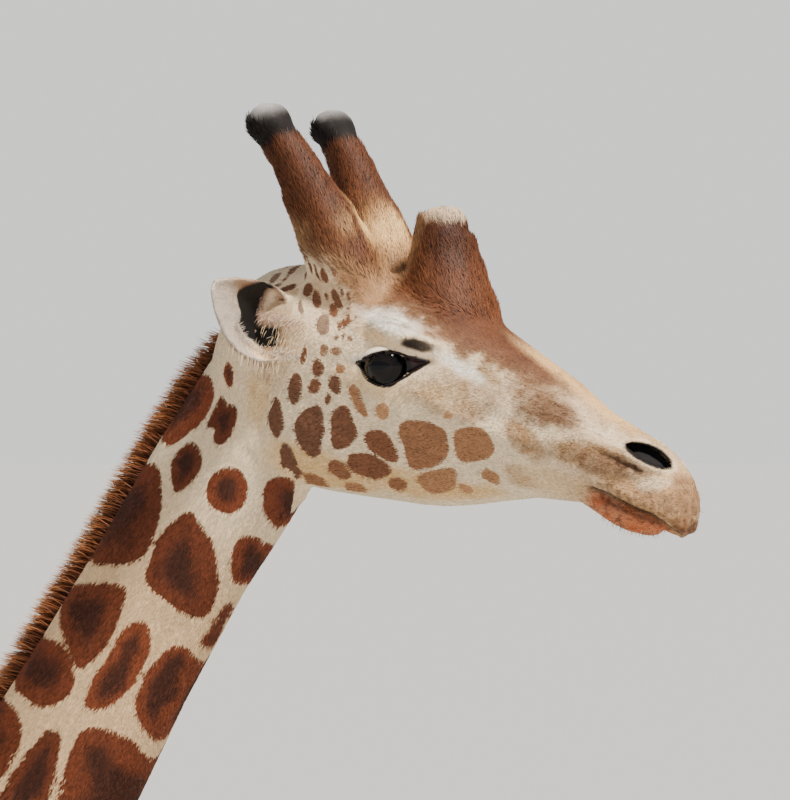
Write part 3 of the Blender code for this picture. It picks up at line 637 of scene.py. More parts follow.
COLOURS = {
    "lane": (0.80, 0.53, 0.300), "lane_low": (0.82, 0.66, 0.48),
    "patch": (0.165, 0.039, 0.013), "core": (0.038, 0.011, 0.005),
    "face": (0.97, 0.75, 0.50), "face_spot": (0.225, 0.086, 0.038), "face_dark": (0.150, 0.066, 0.036),
    "face_pale": (0.56, 0.290, 0.135),
    "brown": (0.135, 0.040, 0.013), "dark_brown": (0.055, 0.017, 0.007), "smoke": (0.27, 0.145, 0.075),
    "tan": (0.375, 0.205, 0.090), "yellow": (0.820, 0.520, 0.220), "sand": (0.570, 0.330, 0.155),
    "grey": (0.80, 0.60, 0.40),
    "straw": (0.93, 0.54, 0.225), "pitch": (0.016, 0.008, 0.004), "umber": (0.185, 0.090, 0.044),
    "ear": (0.60, 0.50, 0.42), "black": (0.006, 0.005, 0.005), "bald": (0.52, 0.49, 0.47),
    "lip": (0.560, 0.120, 0.028), "wet": (0.008, 0.005, 0.006), "corner": (0.050, 0.024, 0.028),
    "white": (0.97, 0.90, 0.78), "grey_spot": (0.330, 0.225, 0.150),
}
COLOURS = {name: np.array(value) for name, value in COLOURS.items()}


def rounded(outline):
    """The outline with its corners cut twice."""
    corners = np.array(outline, float)
    for _ in range(2):
        ahead = np.roll(corners, -1, axis=0)
        pairs = [corners * 0.78 + ahead * 0.22, corners * 0.22 + ahead * 0.78]
        corners = np.stack(pairs, axis=1).reshape(-1, 2)
    return corners


def inside_depth(flat, corners):
    """How far inside an outline each place of a plane lies; below 0 outside it."""
    low, high = corners.min(0) - 0.03, corners.max(0) + 0.03
    depth = np.full(len(flat), NO_PATCH)
    close = np.flatnonzero(((flat > low) & (flat < high)).all(1))
    p = flat[close][:, None, :]
    a, b = corners[None], np.roll(corners, -1, axis=0)[None]
    edge, rel = b - a, p - a
    share = np.clip((rel * edge).sum(2) / (edge ** 2).sum(2), 0, 1)
    far = np.linalg.norm(rel - edge * share[:, :, None], axis=2).min(1)
    crossed = ((a[..., 1] > p[..., 1]) != (b[..., 1] > p[..., 1])) \
        & (p[..., 0] < edge[..., 0] * rel[..., 1] / np.where(edge[..., 1] == 0, 1e-9, edge[..., 1]) + a[..., 0])
    depth[close] = np.where(crossed.sum(1) % 2 == 1, far, -far)
    return depth


def outlined_field(points, neck):
    """How far inside a patch of the upper neck each point lies, which patch, and how near its middle."""
    field = np.full(len(points), NO_PATCH)
    middle = np.zeros(len(points))
    which = np.zeros(len(points), int)
    # the left side wears the same patches, drawn out differently
    left = ramp(points[:, 1], 0.01, 0.06)[:, None]
    bend = np.stack([noise3(points, 6, 40) + 0.4, noise3(points, 6, 41)], axis=1) * 0.034
    fine = np.stack([noise3(points, 24, 42), noise3(points, 24, 43)], axis=1) * 0.0045
    flat = neck + bend * left + fine
    for k, outline in enumerate(NECK_OUTLINES):
        depth = inside_depth(flat, rounded(outline)) - 0.0004
        thick = max(depth.max(), 0.010)
        which = np.where(depth > field, k, which)
        middle = np.where(depth > field, np.clip(depth / thick, 0, 1), middle)
        field = np.maximum(field, depth)
    return field, which, middle


def outline_seeds(points, neck, h):
    """Where the outlined patches stand, so that those of the body keep clear of them."""
    seeds = []
    for side in SIDES.values():
        on_side = np.flatnonzero((np.sign(points[:, 1]) == side) & (h[:, 0] < ON_HEAD))
        for outline in NECK_OUTLINES[-8:]:
            corners = np.array(outline)
            half = (corners.max(0) - corners.min(0)) / 2
            miss = ((neck[on_side] - corners.mean(0)) ** 2).sum(1)
            seeds.append((points[on_side[np.argmin(miss)]], np3(NECK_DOWN), half[0] * 1.1, half[1] * 1.1))
    return seeds


def scattered_seeds(points, neck, taken):
    """Patches for the rest of the animal, thrown down in turn wherever they keep their distance."""
    order = RNG.permutation(np.flatnonzero((neck[:, 0] > 0.68) & (points[:, 2] > 0.36)))[:16000]
    places = np.empty((900, 3))
    sizes = np.empty(900)
    count = len(taken)
    places[:count] = [seed[0] for seed in taken]
    sizes[:count] = [math.sqrt(seed[2] * seed[3]) for seed in taken]
    seeds = []
    for p in points[order]:
        leg = min(1.0, max(0.0, (1.85 - p[2]) / 1.0))
        size = 0.092 * (1 - 0.62 * leg)
        gap = np.linalg.norm(places[:count] - p, axis=1) - 0.86 * (sizes[:count] + size)
        if gap.min() < 0 or count == len(places):
            continue
        places[count], sizes[count] = p, size
        count += 1
        stretch = RNG.uniform(1.0, 1.4)
        axis = unit(np.array([-0.45 * (1 - leg) + RNG.uniform(-0.45, 0.45), 0.0, -1.0 + 0.35 * (1 - leg)]))
        seeds.append((p, axis, size * stretch * 1.30, size / stretch * 1.42))
    return seeds


def patch_field(points, seeds, lane):
    """How far inside its patch each point lies, which patch that is, and how near its middle."""
    centre, axis = np.array([seed[0] for seed in seeds]), unit(np.array([seed[1] for seed in seeds]))
    long_half, wide_half = np.array([seed[2] for seed in seeds]), np.array([seed[3] for seed in seeds])
    typical = np.sqrt(long_half * wide_half)
    field, middle = np.empty(len(points)), np.empty(len(points))
    nearest = np.empty(len(points), int)
    soft = 0.0045
    for start in range(0, len(points), 4000):
        part = slice(start, start + 4000)
        rel = points[part, None, :] - centre[None, :, :]
        along = np.einsum("ijk,jk->ij", rel, axis)
        across = np.sqrt(np.maximum((rel ** 2).sum(2) - along ** 2, 0))
        d = ((np.abs(along) / long_half) ** 2.5 + (across / wide_half) ** 2.5) ** 0.4
        near = np.argpartition(d, 3, axis=1)[:, :4]
        rows = np.arange(len(d))
        ranked = near[rows[:, None], np.argsort(d[rows[:, None], near], axis=1)]
        best, others = ranked[:, 0], ranked[:, 1:]
        own = d[rows, best]
        spread = (d[rows[:, None], others] - own[:, None]) / (1 / typical[best][:, None] + 1 / typical[others])
        both = np.concatenate([((1 - own) * typical[best])[:, None], spread - lane[part, None] / 2], axis=1)
        field[part] = -soft * np.log(np.exp(-both / soft).sum(1))
        nearest[part] = best
        middle[part] = np.clip(1 - own, 0, 1)
    return field, nearest, middle


def turned(x, y, degrees):
    """A place of a plane, seen from axes turned by that angle."""
    spin = math.radians(degrees)
    return x * math.cos(spin) + y * math.sin(spin), -x * math.sin(spin) + y * math.cos(spin)


def spot_field(h):
    """The same for the spots of the face, which lie in its side view, and how dark each one is."""
    field, dark = np.full(len(h), NO_PATCH), np.zeros(len(h))
    side = np.abs(h[:, 1]) > 0.02
    warp = 0.0022
    other = ramp(h[:, 1], 0.02, 0.06) * 0.007
    x0 = h[:, 0] + warp * noise3(h, 70, 8) + other * noise3(h, 18, 10)
    z0 = h[:, 2] + warp * noise3(h, 70, 9) + other * noise3(h, 18, 11)
    depths = [(darkness, inside_depth(np.stack([x0, z0], axis=1), rounded(outline)) + 0.0012)
              for darkness, outline in FACE_OUTLINES]
    for along, up, half_length, half_height, turn, darkness in FACE_SPOTS:
        x, z = turned(x0 - along, z0 - up, turn)
        d = ((np.abs(x) / half_length) ** 2.6 + (np.abs(z) / half_height) ** 2.6) ** (1 / 2.6)
        depths.append((darkness, (1 - d) * math.sqrt(half_length * half_height)))
    for darkness, depth in depths:
        here = np.where(side, depth, NO_PATCH)
        dark = np.where(here > field, darkness, dark)
        field = np.maximum(field, here)
    return field, dark


def blend(base, colour, amount):
    """Each row moved towards a named colour by that share."""
    return base + (COLOURS[colour] - base) * amount[:, None]


# the edge of the brown cap on the side of the head: along it, above its axis
CAP_EDGE = ((-0.03, 0.110), (0.033, 0.128), (0.064, 0.131), (0.082, 0.127), (0.098, 0.119), (0.111, 0.108),
            (0.125, 0.096), (0.137, 0.091), (0.154, 0.093), (0.183, 0.103), (0.212, 0.103), (0.250, 0.092),
            (0.297, 0.083), (0.326, 0.081), (0.345, 0.080), (0.394, 0.078), (0.438, 0.074), (0.467, 0.070),
            (0.498, 0.063), (0.540, 0.052))


class Canvas:
    """The hide's vertices as places to paint, and the ground colour that builds up on them."""

    def __init__(self, points, normals, extra):
        self.points, self.normals, self.extra = points, normals, extra
        self.head, self.neck = head_frame(points), neck_frame(points)
        self.along, self.out, self.up = self.head[:, 0], np.abs(self.head[:, 1]), self.head[:, 2]
        self.ground = np.tile(COLOURS["lane"], (len(points), 1))
        self.rough = None

    def paint(self, tone, amount):
        """Lays a tone over the ground, as thick as amount says."""
        self.ground = blend(self.ground, tone, amount)

    def grain(self, scale, seed, stretch=(1, 1, 1)):
        """Noise that is longer along an axis whose stretch is below 1."""
        return noise3(self.points * np.array(stretch), scale, seed)


def paint_body(canvas, on_face):
    """Lanes that pale down the legs, and the black end of the tail's dock; returns where that dock is."""
    z = canvas.points[:, 2]
    canvas.paint("lane_low", ramp(z, 1.5, 0.8))
    canvas.paint("face", np.maximum(on_face, 0.90 * ramp(canvas.neck[:, 0], 0.44, 0.18)))
    dock = ramp(z, TASSEL_TOP + 0.22, TASSEL_TOP + 0.12) * (canvas.points[:, 0] < -1.5)
    canvas.paint("black", ramp(dock, 0.0, 0.5))
    return dock


def paint_zones(canvas):
    """Soft washes on nose, muzzle and cheek, mottled and with a ragged edge; some are painted bounce light
    under the jaw and painted shade in a fold, as noted in ZONES.
    """
    u, out, w = canvas.along, canvas.out, canvas.up
    canvas.paint("sand", ramp(u, 0.42, 0.56) * (0.60 + 0.20 * canvas.grain(60, 6)))
    mottle = 1 + 0.35 * canvas.grain(140, 14)
    off_ridge = np.maximum(ramp(out, 0.015, 0.035), ramp(u, 0.58, 0.62))
    for along, up, half_length, half_height, turn, tone, strength in ZONES:
        x, y = turned(u - along, w + 0.4 * canvas.rough - up, turn)
        d = (x / half_length) ** 2 + (y / half_height) ** 2
        canvas.paint(tone, np.clip(strength * mottle, 0, 1) * ramp(d, 1.7, 0.25) * off_ridge)


def paint_cap(canvas, cap):
    """The brown cap: middle horn, rear horns, forehead and the ridge of the nose."""
    u, out, w = canvas.along, canvas.out, canvas.up
    full = np.clip(cap * 1.5, 0, 1)
    # along the nose the brown keeps to a band below the ridge, which is straw coloured itself
    ridge = ramp(out, 0.034, 0.012)
    canvas.paint("tan", full * (0.85 - 0.35 * ramp(u, 0.42, 0.48)))
    bare_ridge = ridge * ramp(u, 0.30, 0.37)
    canvas.paint("brown", cap * (0.97 - 0.82 * ramp(u, 0.395, 0.485)) * (1 - 0.65 * bare_ridge))
    canvas.paint("straw", full * ridge * 0.80 * ramp(u, 0.32, 0.39) * ramp(u, 0.60, 0.52))
    middle_horn = cap * hill(u, 0.190, 0.060) * ramp(w, 0.110, 0.150) * ramp(out, 0.075, 0.055)
    # painted light and shade: the middle horn's back side is painted sandy as if lit, its front side dark brown
    # as if in shade
    canvas.paint("sand", middle_horn * 0.95 * ramp(u, 0.176, 0.150))
    canvas.paint("dark_brown", middle_horn * (0.15 + 0.75 * ramp(u, 0.165, 0.205)) * ramp(w, 0.145, 0.185))
    canvas.paint("dark_brown", cap * ramp(w, 0.150, 0.220) * ramp(out, 0.050, 0.065) * 0.45)
    streaks = np.clip(canvas.grain(80, 7, (1, 1, 0.35)) * 0.8, 0, 1)
    canvas.paint("dark_brown", cap * streaks * 0.45)
    # the hair turns pale and sandy round the feet of the rear horns and between them and the middle one
    foot = ramp(w, 0.150, 0.118) * ramp(u, 0.175, 0.150) * (0.60 + 0.40 * canvas.grain(95, 15, (1, 1, 0.4)))
    back_foot = ramp(u, 0.060, 0.030) * ramp(w, 0.175, 0.135) * 0.7
    canvas.paint("sand", cap * np.clip(0.80 * np.maximum(foot, back_foot), 0, 0.9))
    saddle = hill(u, 0.088, 0.036) * hill(w, 0.178, 0.031) * ramp(out, 0.085, 0.060)
    front_edge = 0.35 * hill(u, 0.088, 0.016) * hill(w, 0.190, 0.024) * ramp(out, 0.085, 0.095)
    canvas.paint("straw", np.clip(1.1 * saddle + front_edge, 0, 0.92) * ramp(cap, 0.2, 0.6))


def paint_muzzle(canvas):
    """The lower lip is ruddy and the nostril's wing pale; painted shade: black inside the nostril, dark in the
    lips' groove and the creases.
    """
    u, out, w = canvas.along, canvas.out, canvas.up
    line = lip_line(u)
    below = ramp(w, line + 0.001, line - 0.004) * ramp(u, 0.505, 0.545) * ramp(w, -0.10, -0.08)
    canvas.paint("lip", below * (0.80 + 0.20 * canvas.grain(90, 12)))
    canvas.paint("dark_brown", 0.75 * hill(w, -0.040, 0.006) * ramp(u, 0.530, 0.555) * ramp(u, 0.650, 0.630))
    speckle = ramp(canvas.grain(210, 13), 0.15, 0.5) * ramp(u, 0.50, 0.54) * ramp(w, 0.0, -0.020)
    canvas.paint("dark_brown", 0.45 * speckle)
    gap, along = nostril_gap(canvas.head)
    at_nose = ramp(out, 0.012, 0.020)
    canvas.paint("face", 0.60 * hill(gap, 0.0055, 0.003) * (np.abs(along) < 0.050) * at_nose)
    # painted shade: the nostril's slit is painted black as the shade inside it
    hole = ramp(gap, 0.0036, 0.0018) * ramp(out, 0.012, 0.018)
    canvas.paint("black", np.maximum(hole, ramp(canvas.extra["nostril"], 0.2, 0.5)))
    # painted shade: dark along the groove between the lips
    canvas.paint("dark_brown", 0.85 * canvas.extra["mouth"])
    # painted shade: the troughs of the creases over the lids and the folds on the nose are darkened
    canvas.paint("smoke", 0.55 * np.clip(canvas.extra["crease_shade"], 0, 1))


def paint_eyes(canvas):
    """A dark rim, a pale line on the upper lid as a painted highlight, the dark brow spot and both corners."""
    u, out, w = canvas.along, canvas.out, canvas.up
    lid = canvas.extra["lid"]
    near_eye = lid < 0.5
    x = canvas.points[:, 0] - HEAD_AT.x - LID_MIDDLE.x
    z = canvas.points[:, 2] - HEAD_AT.z - LID_MIDDLE.z
    # painted highlight: a pale line along the upper lid's moist edge
    canvas.paint("white", 0.9 * near_eye * hill(lid, 0.005, 0.0040) * (z > 0) * ramp(x, 0.015, -0.01))
    brow_level = 0.070 + 0.12 * (u - 0.247)
    brow = (np.abs(u - 0.247) / 0.021) ** 2.2 + (np.abs(w - brow_level) / 0.0085) ** 2.2
    spot = ramp(brow * (1 + 0.35 * canvas.grain(150, 16)), 1.75, 0.45) * ramp(out, 0.045, 0.060)
    canvas.paint("pitch", (0.99 - 0.08 * ramp(u, 0.245, 0.270)) * spot)
    corner = hill(np.abs(x), LID_HALF + 0.002, 0.009) * hill(z, 0, 0.006) * ramp(out, 0.06, 0.08)
    canvas.paint("dark_brown", 0.7 * corner)
    canvas.paint("wet", ramp(lid, 0.0026, 0.0012) * near_eye)
    canvas.paint("corner", ramp(lid, -0.0005, -0.0020) * near_eye * ramp(x, 0.022, 0.028))


def paint_horns(canvas):
    """Black hair round the rear horns' knobs, bald grey tops with a painted highlight, and the pale dome of the
    middle horn.
    """
    u, out, w, rough = canvas.along, canvas.out, canvas.up, canvas.rough
    for side in SIDES.values():
        rel = canvas.points - np3(HEAD_AT) - head_way(-0.077, side * 0.106, 0.275)
        near = np.linalg.norm(rel, axis=1)
        rise = rel @ unit(head_way(-0.55, side * 0.12, 0.80))
        canvas.paint("black", ramp(near + 0.3 * rough, 0.047, 0.038) * 0.96)
        # bare grey skin on each knob, growing paler towards the top as a painted highlight
        canvas.paint("bald", ramp(near, 0.044, 0.040) * ramp(rise + 0.3 * rough, 0.002, 0.036) * 0.95)
    over = w + 0.25 * rough - 0.2205 - 0.25 * np.clip(u - 0.165, 0, 1)
    on_top = (np.hypot(u - 0.175, out) < 0.065) * ramp(w, 0.19, 0.20)
    canvas.paint("dark_brown", 0.95 * on_top * hill(over, -0.009, 0.010) * ramp(u, 0.130, 0.185))
    canvas.paint("grey", (0.85 - 0.30 * np.abs(canvas.grain(120, 17))) * on_top * ramp(over, -0.004, 0.004))


def paint_ears(canvas):
    """Pale rim and lining, the lining greyed as painted shade, tan upper lining, and painted shade in the
    depth, brown and then black; returns where the ears are free of spots.
    """
    share, down, front = ear_frame(canvas.points)
    on_ear = (share > 0.10) * (canvas.out > 0.085) * (front < 0.024) * (front > -0.06) * (np.abs(down) < 0.07)
    lining = ramp(canvas.normals @ unit(np.array([1.0, 0, -0.1])), 0.0, 0.4) * on_ear
    # the ear's pale lining, its colour partly greyed and darkened as painted shade
    canvas.paint("ear", 0.9 * on_ear * ramp(share, 0.14, 0.32))
    canvas.paint("tan", 0.45 * on_ear * (1 - lining) * ramp(share, 0.9, 0.4))
    canvas.paint("tan", 0.75 * lining * hill(down, -0.024, 0.016) * hill(share, 0.62, 0.20))
    # painted shade: the lining turns brown and then black deep in the cup
    in_depth = ramp(canvas.extra["deep"], -0.011, -0.001) * ramp(down, -0.014, -0.028)
    canvas.paint("brown", 0.75 * lining * in_depth)
    canvas.paint("black", canvas.extra["hollow"])
    return on_ear * (share > 0.20)


def markings(points, normals, extra):
    """Ground colour, patch colour, distance inside a patch and nearness to its middle, at each vertex."""
    canvas = Canvas(points, normals, extra)
    h, neck, u, w, z = canvas.head, canvas.neck, canvas.along, canvas.up, points[:, 2]
    taken = outline_seeds(points, neck, h)
    seeds = taken + scattered_seeds(points, neck, taken)
    lane = 0.017 + 0.008 * ramp(z, 1.7, 0.9)
    warped = points + 0.009 * np.stack([noise3(points, 16, k) for k in range(3)], axis=1)
    field, nearest, middle = patch_field(warped, seeds, lane)
    field = np.where((nearest < len(taken)) | (neck[:, 0] < 0.60), NO_PATCH, field)
    drawn, which, heart = outlined_field(points, neck)
    shades = RNG.uniform(0.0, 1.0, len(seeds) + len(NECK_OUTLINES))
    shade = np.where(drawn > field, shades[which], shades[len(NECK_OUTLINES) + nearest])
    middle = np.where(drawn > field, heart, middle)
    field = np.maximum(drawn, field)

    # the head carries spots in place of patches
    on_face = np.maximum(ramp(neck[:, 0] - 0.55 * neck[:, 1], 0.075, 0.030), ramp(u, 0.09, 0.12))
    spots, dark = spot_field(h)
    is_face = on_face > 0.5
    field = np.where(is_face, spots, np.maximum(field, np.where(neck[:, 0] < 0.15, spots, NO_PATCH)))
    middle = np.where(is_face, 0.0, middle)

    # belly, inner legs and shins stay pale
    under = ramp(-normals[:, 2], 0.55, 0.85) * ramp(z, 2.3, 2.0)
    inner = ramp(-normals[:, 1] * np.sign(points[:, 1]), 0.3, 0.8) * ramp(z, 1.75, 1.4)
    field = field - 0.06 * under - 0.05 * ramp(z, 0.62, 0.42) - 0.02 * inner
    dock = paint_body(canvas, on_face)
    field = field - 0.06 * ramp(dock, 0.4, 0.8)

    patch = COLOURS["patch"] * (0.80 + 0.45 * shade[:, None])
    face_patch = np.tile(COLOURS["face_pale"], (len(points), 1))
    face_patch = blend(face_patch, "grey_spot", ramp(w, 0.0, 0.03))
    face_patch = blend(face_patch, "face_spot", np.clip((dark - 0.2) / 0.5, 0, 1))
    face_patch = blend(face_patch, "face_dark", np.clip((dark - 0.7) / 0.3, 0, 1))
    spotted = is_face | (spots > field - 1e-9) & (spots > -0.01)
    patch = np.where(spotted[:, None], face_patch, patch)

    canvas.rough = 0.008 * canvas.grain(55, 3) + 0.004 * canvas.grain(130, 4)
    canvas.rough = canvas.rough + 0.0018 * RNG.normal(size=len(points))
    above = w + canvas.rough - np.interp(u, *zip(*CAP_EDGE))
    cap = np.clip(0.86 * ramp(above, -0.015, 0.008) + 0.14 * ramp(above, 0.002, 0.026), 0, 1)
    cap *= ramp(u, 0.64, 0.50)
    paint_zones(canvas)
    paint_cap(canvas, cap)
    paint_muzzle(canvas)
    paint_eyes(canvas)
    paint_horns(canvas)
    field = np.where(paint_ears(canvas), NO_PATCH, field)
    return h, neck, field, middle, canvas.ground, patch


# =====================================================================  materials

class Flow:
    """A shader value: arithmetic on it adds the Math nodes."""

    def __init__(self, tree, socket=None):
        self.tree, self.socket = tree, socket

    def feed(self, socket, value):
        if isinstance(value, Flow):
            self.tree.links.new(value.socket, socket)
        else:
            socket.default_value = value

    def node(self, kind, settings=None, out=0, **inputs):
        """Adds a node, sets its settings first and then its sockets, by value or by link."""
        made = self.tree.nodes.new(kind)
        for name, value in (settings or {}).items():
            if name == "stops":
                while len(made.color_ramp.elements) < len(value):
                    made.color_ramp.elements.new(1.0)
                for element, (place, colour) in zip(made.color_ramp.elements, value):
                    element.position, element.color = place, (*colour, 1.0)
            else:
                setattr(made, name, value)
        for name, value in inputs.items():
            self.feed(made.inputs[int(name[1:]) if name[0] == "_" else name.replace("_", " ")], value)
        return Flow(self.tree, made.outputs[out])

    def maths(self, operation, *values):
        sockets = {f"_{k}": value for k, value in enumerate(values)}
        return self.node("ShaderNodeMath", {"operation": operation}, **sockets)

    def __add__(self, other):
        return self.maths("ADD", self, other)

    def __radd__(self, other):
        return self.maths("ADD", other, self)

    def __sub__(self, other):
        return self.maths("SUBTRACT", self, other)

    def __rsub__(self, other):
        return self.maths("SUBTRACT", other, self)

    def __mul__(self, other):
        return self.maths("MULTIPLY", self, other)

    def __rmul__(self, other):
        return self.maths("MULTIPLY", other, self)

    def step(self, start, end):
        """0 before start, 1 after end, smooth between."""
        return self.node("ShaderNodeMapRange", {"interpolation_type": "SMOOTHSTEP"}, Value=self,
                         From_Min=start, From_Max=end)

    def mix(self, a, b, kind="MIX"):
        """Colour a where this is 0 and b where it is 1."""
        return self.node("ShaderNodeMix", {"data_type": "RGBA", "blend_type": kind}, 2, _0=self, _6=a, _7=b)


def new_material(name, roughness=0.7, **constants):
    """A material, its shader with constants set, its flow and the place on the object."""
    made = bpy.data.materials.new(name)
    made.use_nodes = True
    shader = made.node_tree.nodes["Principled BSDF"]
    shader.inputs["Roughness"].default_value = roughness
    for key, value in constants.items():
        shader.inputs[key.replace("_", " ")].default_value = value
    flow = Flow(made.node_tree)
    return made, shader, flow, flow.node("ShaderNodeTexCoord", out="Object")


def attribute(flow, name, out="Fac"):
    """What the mesh's vertices carry under that name."""
    return flow.node("ShaderNodeAttribute", {"attribute_name": name}, out)


def noise(flow, place, scale, detail=3.0):
    """Noise of that fineness, from 0 to 1."""
    return flow.node("ShaderNodeTexNoise", out="Fac", Vector=place, Scale=scale, Detail=detail)


def bump(flow, shader, height, distance, strength=1.0):
    """Fine relief from a height of 0 to 1."""
    flow.feed(shader.inputs["Normal"],
              flow.node("ShaderNodeBump", Strength=strength, Distance=distance, Height=height))


def hide_material():
    """The skin under the coat: ground colour, ragged patches with dark middles, and a fine short nap."""
    made, shader, flow, place = new_material("hide", 0.72, Specular_IOR_Level=0.3)
    rag, blotch = noise(flow, place, 110.0, 4.0), noise(flow, place, 30.0)
    inside = (attribute(flow, "field") + (rag - 0.5) * 0.005).step(-0.0012, 0.0012)
    dark = (attribute(flow, "middle") + (blotch - 0.5) * 0.55).step(0.30, 0.75) * 0.85
    spot = dark.mix(attribute(flow, "patch", "Color"), (*COLOURS["core"], 1.0))
    fine = noise(flow, place, 420.0, 2.0)
    colour = inside.mix(attribute(flow, "ground", "Color"), spot)
    colour = (fine.step(0.35, 0.7) * 0.35).mix(colour, (0.50, 0.42, 0.35, 1.0), "MULTIPLY")
    flow.feed(shader.inputs["Base Color"], colour)
    flow.feed(shader.inputs["Roughness"], 0.12 + 0.62 * attribute(flow, "dry"))
    bump(flow, shader, fine, 0.0015, 0.35)
    return made


def coat_material(name, roughness=0.6):
    """Hair: each tuft keeps the colour of its root, paler to the tip, with a little unevenness along it."""
    made, shader, flow, place = new_material(name, roughness, Specular_IOR_Level=0.25)
    uneven = noise(flow, place, 260.0, 2.0).step(0.3, 0.75) * 0.25
    colour = uneven.mix(attribute(flow, "coat", "Color"), (0.60, 0.50, 0.42, 1.0), "MULTIPLY")
    flow.feed(shader.inputs["Base Color"], colour)
    return made


def horn_material():
    """Hoof horn: dark grey brown with fine upright grain and growth rings, paler and scuffed at the edge."""
    made, shader, flow, place = new_material("hoof_horn", 0.5)
    height = flow.node("ShaderNodeSeparateXYZ", out="Z", Vector=place)
    squeezed = flow.node("ShaderNodeMapping", Vector=place, Scale=(1.0, 1.0, 0.08))
    grain = noise(flow, squeezed, 160.0, 3.0)
    rings = flow.node("ShaderNodeMath", {"operation": "SINE"},
                      _0=(height + noise(flow, place, 14.0, 2.0) * 0.020) * 430.0)
    worn = height.step(0.030, 0.0) * noise(flow, place, 60.0).step(0.35, 0.6)
    colour = grain.mix((0.035, 0.026, 0.021, 1.0), (0.110, 0.080, 0.058, 1.0))
    colour = (worn * 0.7).mix(colour, (0.26, 0.20, 0.15, 1.0))
    flow.feed(shader.inputs["Base Color"], colour)
    flow.feed(shader.inputs["Roughness"], 0.56 + 0.25 * worn)
    bump(flow, shader, rings * 0.16 + grain, 0.0010, 0.5)
    return made


def eye_material(centre):
    """Almost black, with a dim brown iris and a level pupil that show only close up."""
    made, shader, flow, place = new_material("eye", 0.07, Specular_IOR_Level=0.18)
    about = flow.node("ShaderNodeMapping", Vector=place, Location=tuple(-value for value in centre))
    parts = flow.node("ShaderNodeSeparateXYZ", out="X", Vector=about)
    upright = flow.node("ShaderNodeSeparateXYZ", out="Z", Vector=about)
    away = flow.maths("SQRT", parts * parts + upright * upright)
    pupil = flow.maths("SQRT", parts * parts * 0.30 + upright * upright * 2.4).step(0.0085, 0.0105)
    streaks = noise(flow, about, 320.0, 2.0)
    iris = (streaks * 0.6).mix((0.005, 0.004, 0.004, 1.0), (0.012, 0.007, 0.005, 1.0))
    colour = pupil.mix((0.002, 0.002, 0.003, 1.0), iris)
    colour = away.step(0.0180, 0.0215).mix(colour, (0.004, 0.003, 0.003, 1.0))
    flow.feed(shader.inputs["Base Color"], colour)
    return made


def wet_material():
    """Bare skin of lid rims and the inner corner."""
    made, shader, flow, place = new_material("wet_skin", 0.40, Specular_IOR_Level=0.3)
    colour = noise(flow, place, 220.0).mix((0.006, 0.004, 0.004, 1), (0.022, 0.013, 0.013, 1))
    flow.feed(shader.inputs["Base Color"], colour)
    bump(flow, shader, noise(flow, place, 300.0), 0.001, 0.5)
    return made


# =====================================================================  tufts

def leaning(way, target, amount):
    """Each direction moved towards a target by that share."""
    return way + (target - way) * amount[:, None]


def along_hide(way, normals):
    """What is left of a direction when it is laid down on the hide."""
    return way - normals * (way * normals).sum(1)[:, None]


def flow_field(points, normals, h, neck):
    """The lie of the coat: back over the face, up the horns, out along the ears, down neck and legs."""
    u, out, w = h[:, 0], np.abs(h[:, 1]), h[:, 2]
    x, z = points[:, 0], points[:, 2]
    sign = np.sign(points[:, 1])
    down = np.array([0, 0, -1.0])
    way = np.tile(np3(NECK_DOWN), (len(points), 1))
    way = leaning(way, np.array([-0.85, 0, -0.45]), ramp(neck[:, 0], 1.6, 2.3))
    way = leaning(way, np.array([-0.10, 0, -1.0]), ramp(z, 2.15, 1.75))
    way = leaning(way, np.array([-1.0, 0, 0]), ramp(-normals[:, 2], 0.6, 0.9) * ramp(z, 1.5, 1.7))
    way = leaning(way, down, ramp(x, -1.22, -1.27) * ramp(z, 1.2, 1.5))
    way = leaning(way, head_way(-1.0, 0, -0.25), ramp(neck[:, 0] - 0.35 * neck[:, 1], 0.10, 0.0))
    # up from the eye over the brow
    brow = hill(u, 0.20, 0.07) * hill(w, 0.085, 0.03)
    way = way + head_way(-0.3, 0, 0.9) * brow[:, None]
    # up the horns, and inwards over the middle one's top
    horn = np.maximum(ramp(w, 0.115, 0.150), 0.8 * ramp(w, 0.095, 0.12) * hill(u, 0.14, 0.10))
    way = leaning(way, head_way(-0.55, 0, 0.80) + 0.15 * np.array([0, 1, 0]) * sign[:, None], horn)
    top = ramp(w, 0.220, 0.230) * (np.hypot(u - 0.171, out) < 0.06) * (u > 0.1)
    inward = np.stack([0.165 - u, -h[:, 1], np.full(len(u), 0.006)], axis=1) @ np.array(HEAD_TURN).T
    way = leaning(way, unit(inward), top)
    share, across, front = ear_frame(points)
    ear = ((share > 0.05) & (out > 0.10) & (np.abs(front) < 0.06) & (np.abs(across) < 0.08)).astype(float)
    outward = np.tile(unit(np.array(EAR_WAY)), (len(points), 1))
    outward[:, 1] *= sign
    way = leaning(way, outward, ear)
    flat = along_hide(way, normals)
    weak = np.linalg.norm(flat, axis=1) < 0.2
    other = along_hide(np.tile(np.array([0.15, 0, -1.0]), (len(points), 1)), normals)
    return unit(np.where(weak[:, None], other, flat))


def mesh_from_arrays(name, points, faces, material, normals=None):
    """Joins many small closed solids, given as one array of points and one of triangles."""
    mesh = bpy.data.meshes.new(name)
    mesh.vertices.add(len(points))
    mesh.vertices.foreach_set("co", np.asarray(points, np.float32).ravel())
    mesh.loops.add(len(faces) * 3)
    mesh.loops.foreach_set("vertex_index", np.asarray(faces, np.int32).ravel())
    mesh.polygons.add(len(faces))
    mesh.polygons.foreach_set("loop_start", np.arange(len(faces), dtype=np.int32) * 3)
    mesh.update(calc_edges=True)
    mesh.shade_smooth()
    if normals is not None:
        mesh.normals_split_custom_set_from_vertices(np.asarray(normals, np.float32))
    mesh.materials.append(material)
    obj = bpy.data.objects.new(name, mesh)
    bpy.context.scene.collection.objects.link(obj)
    return obj


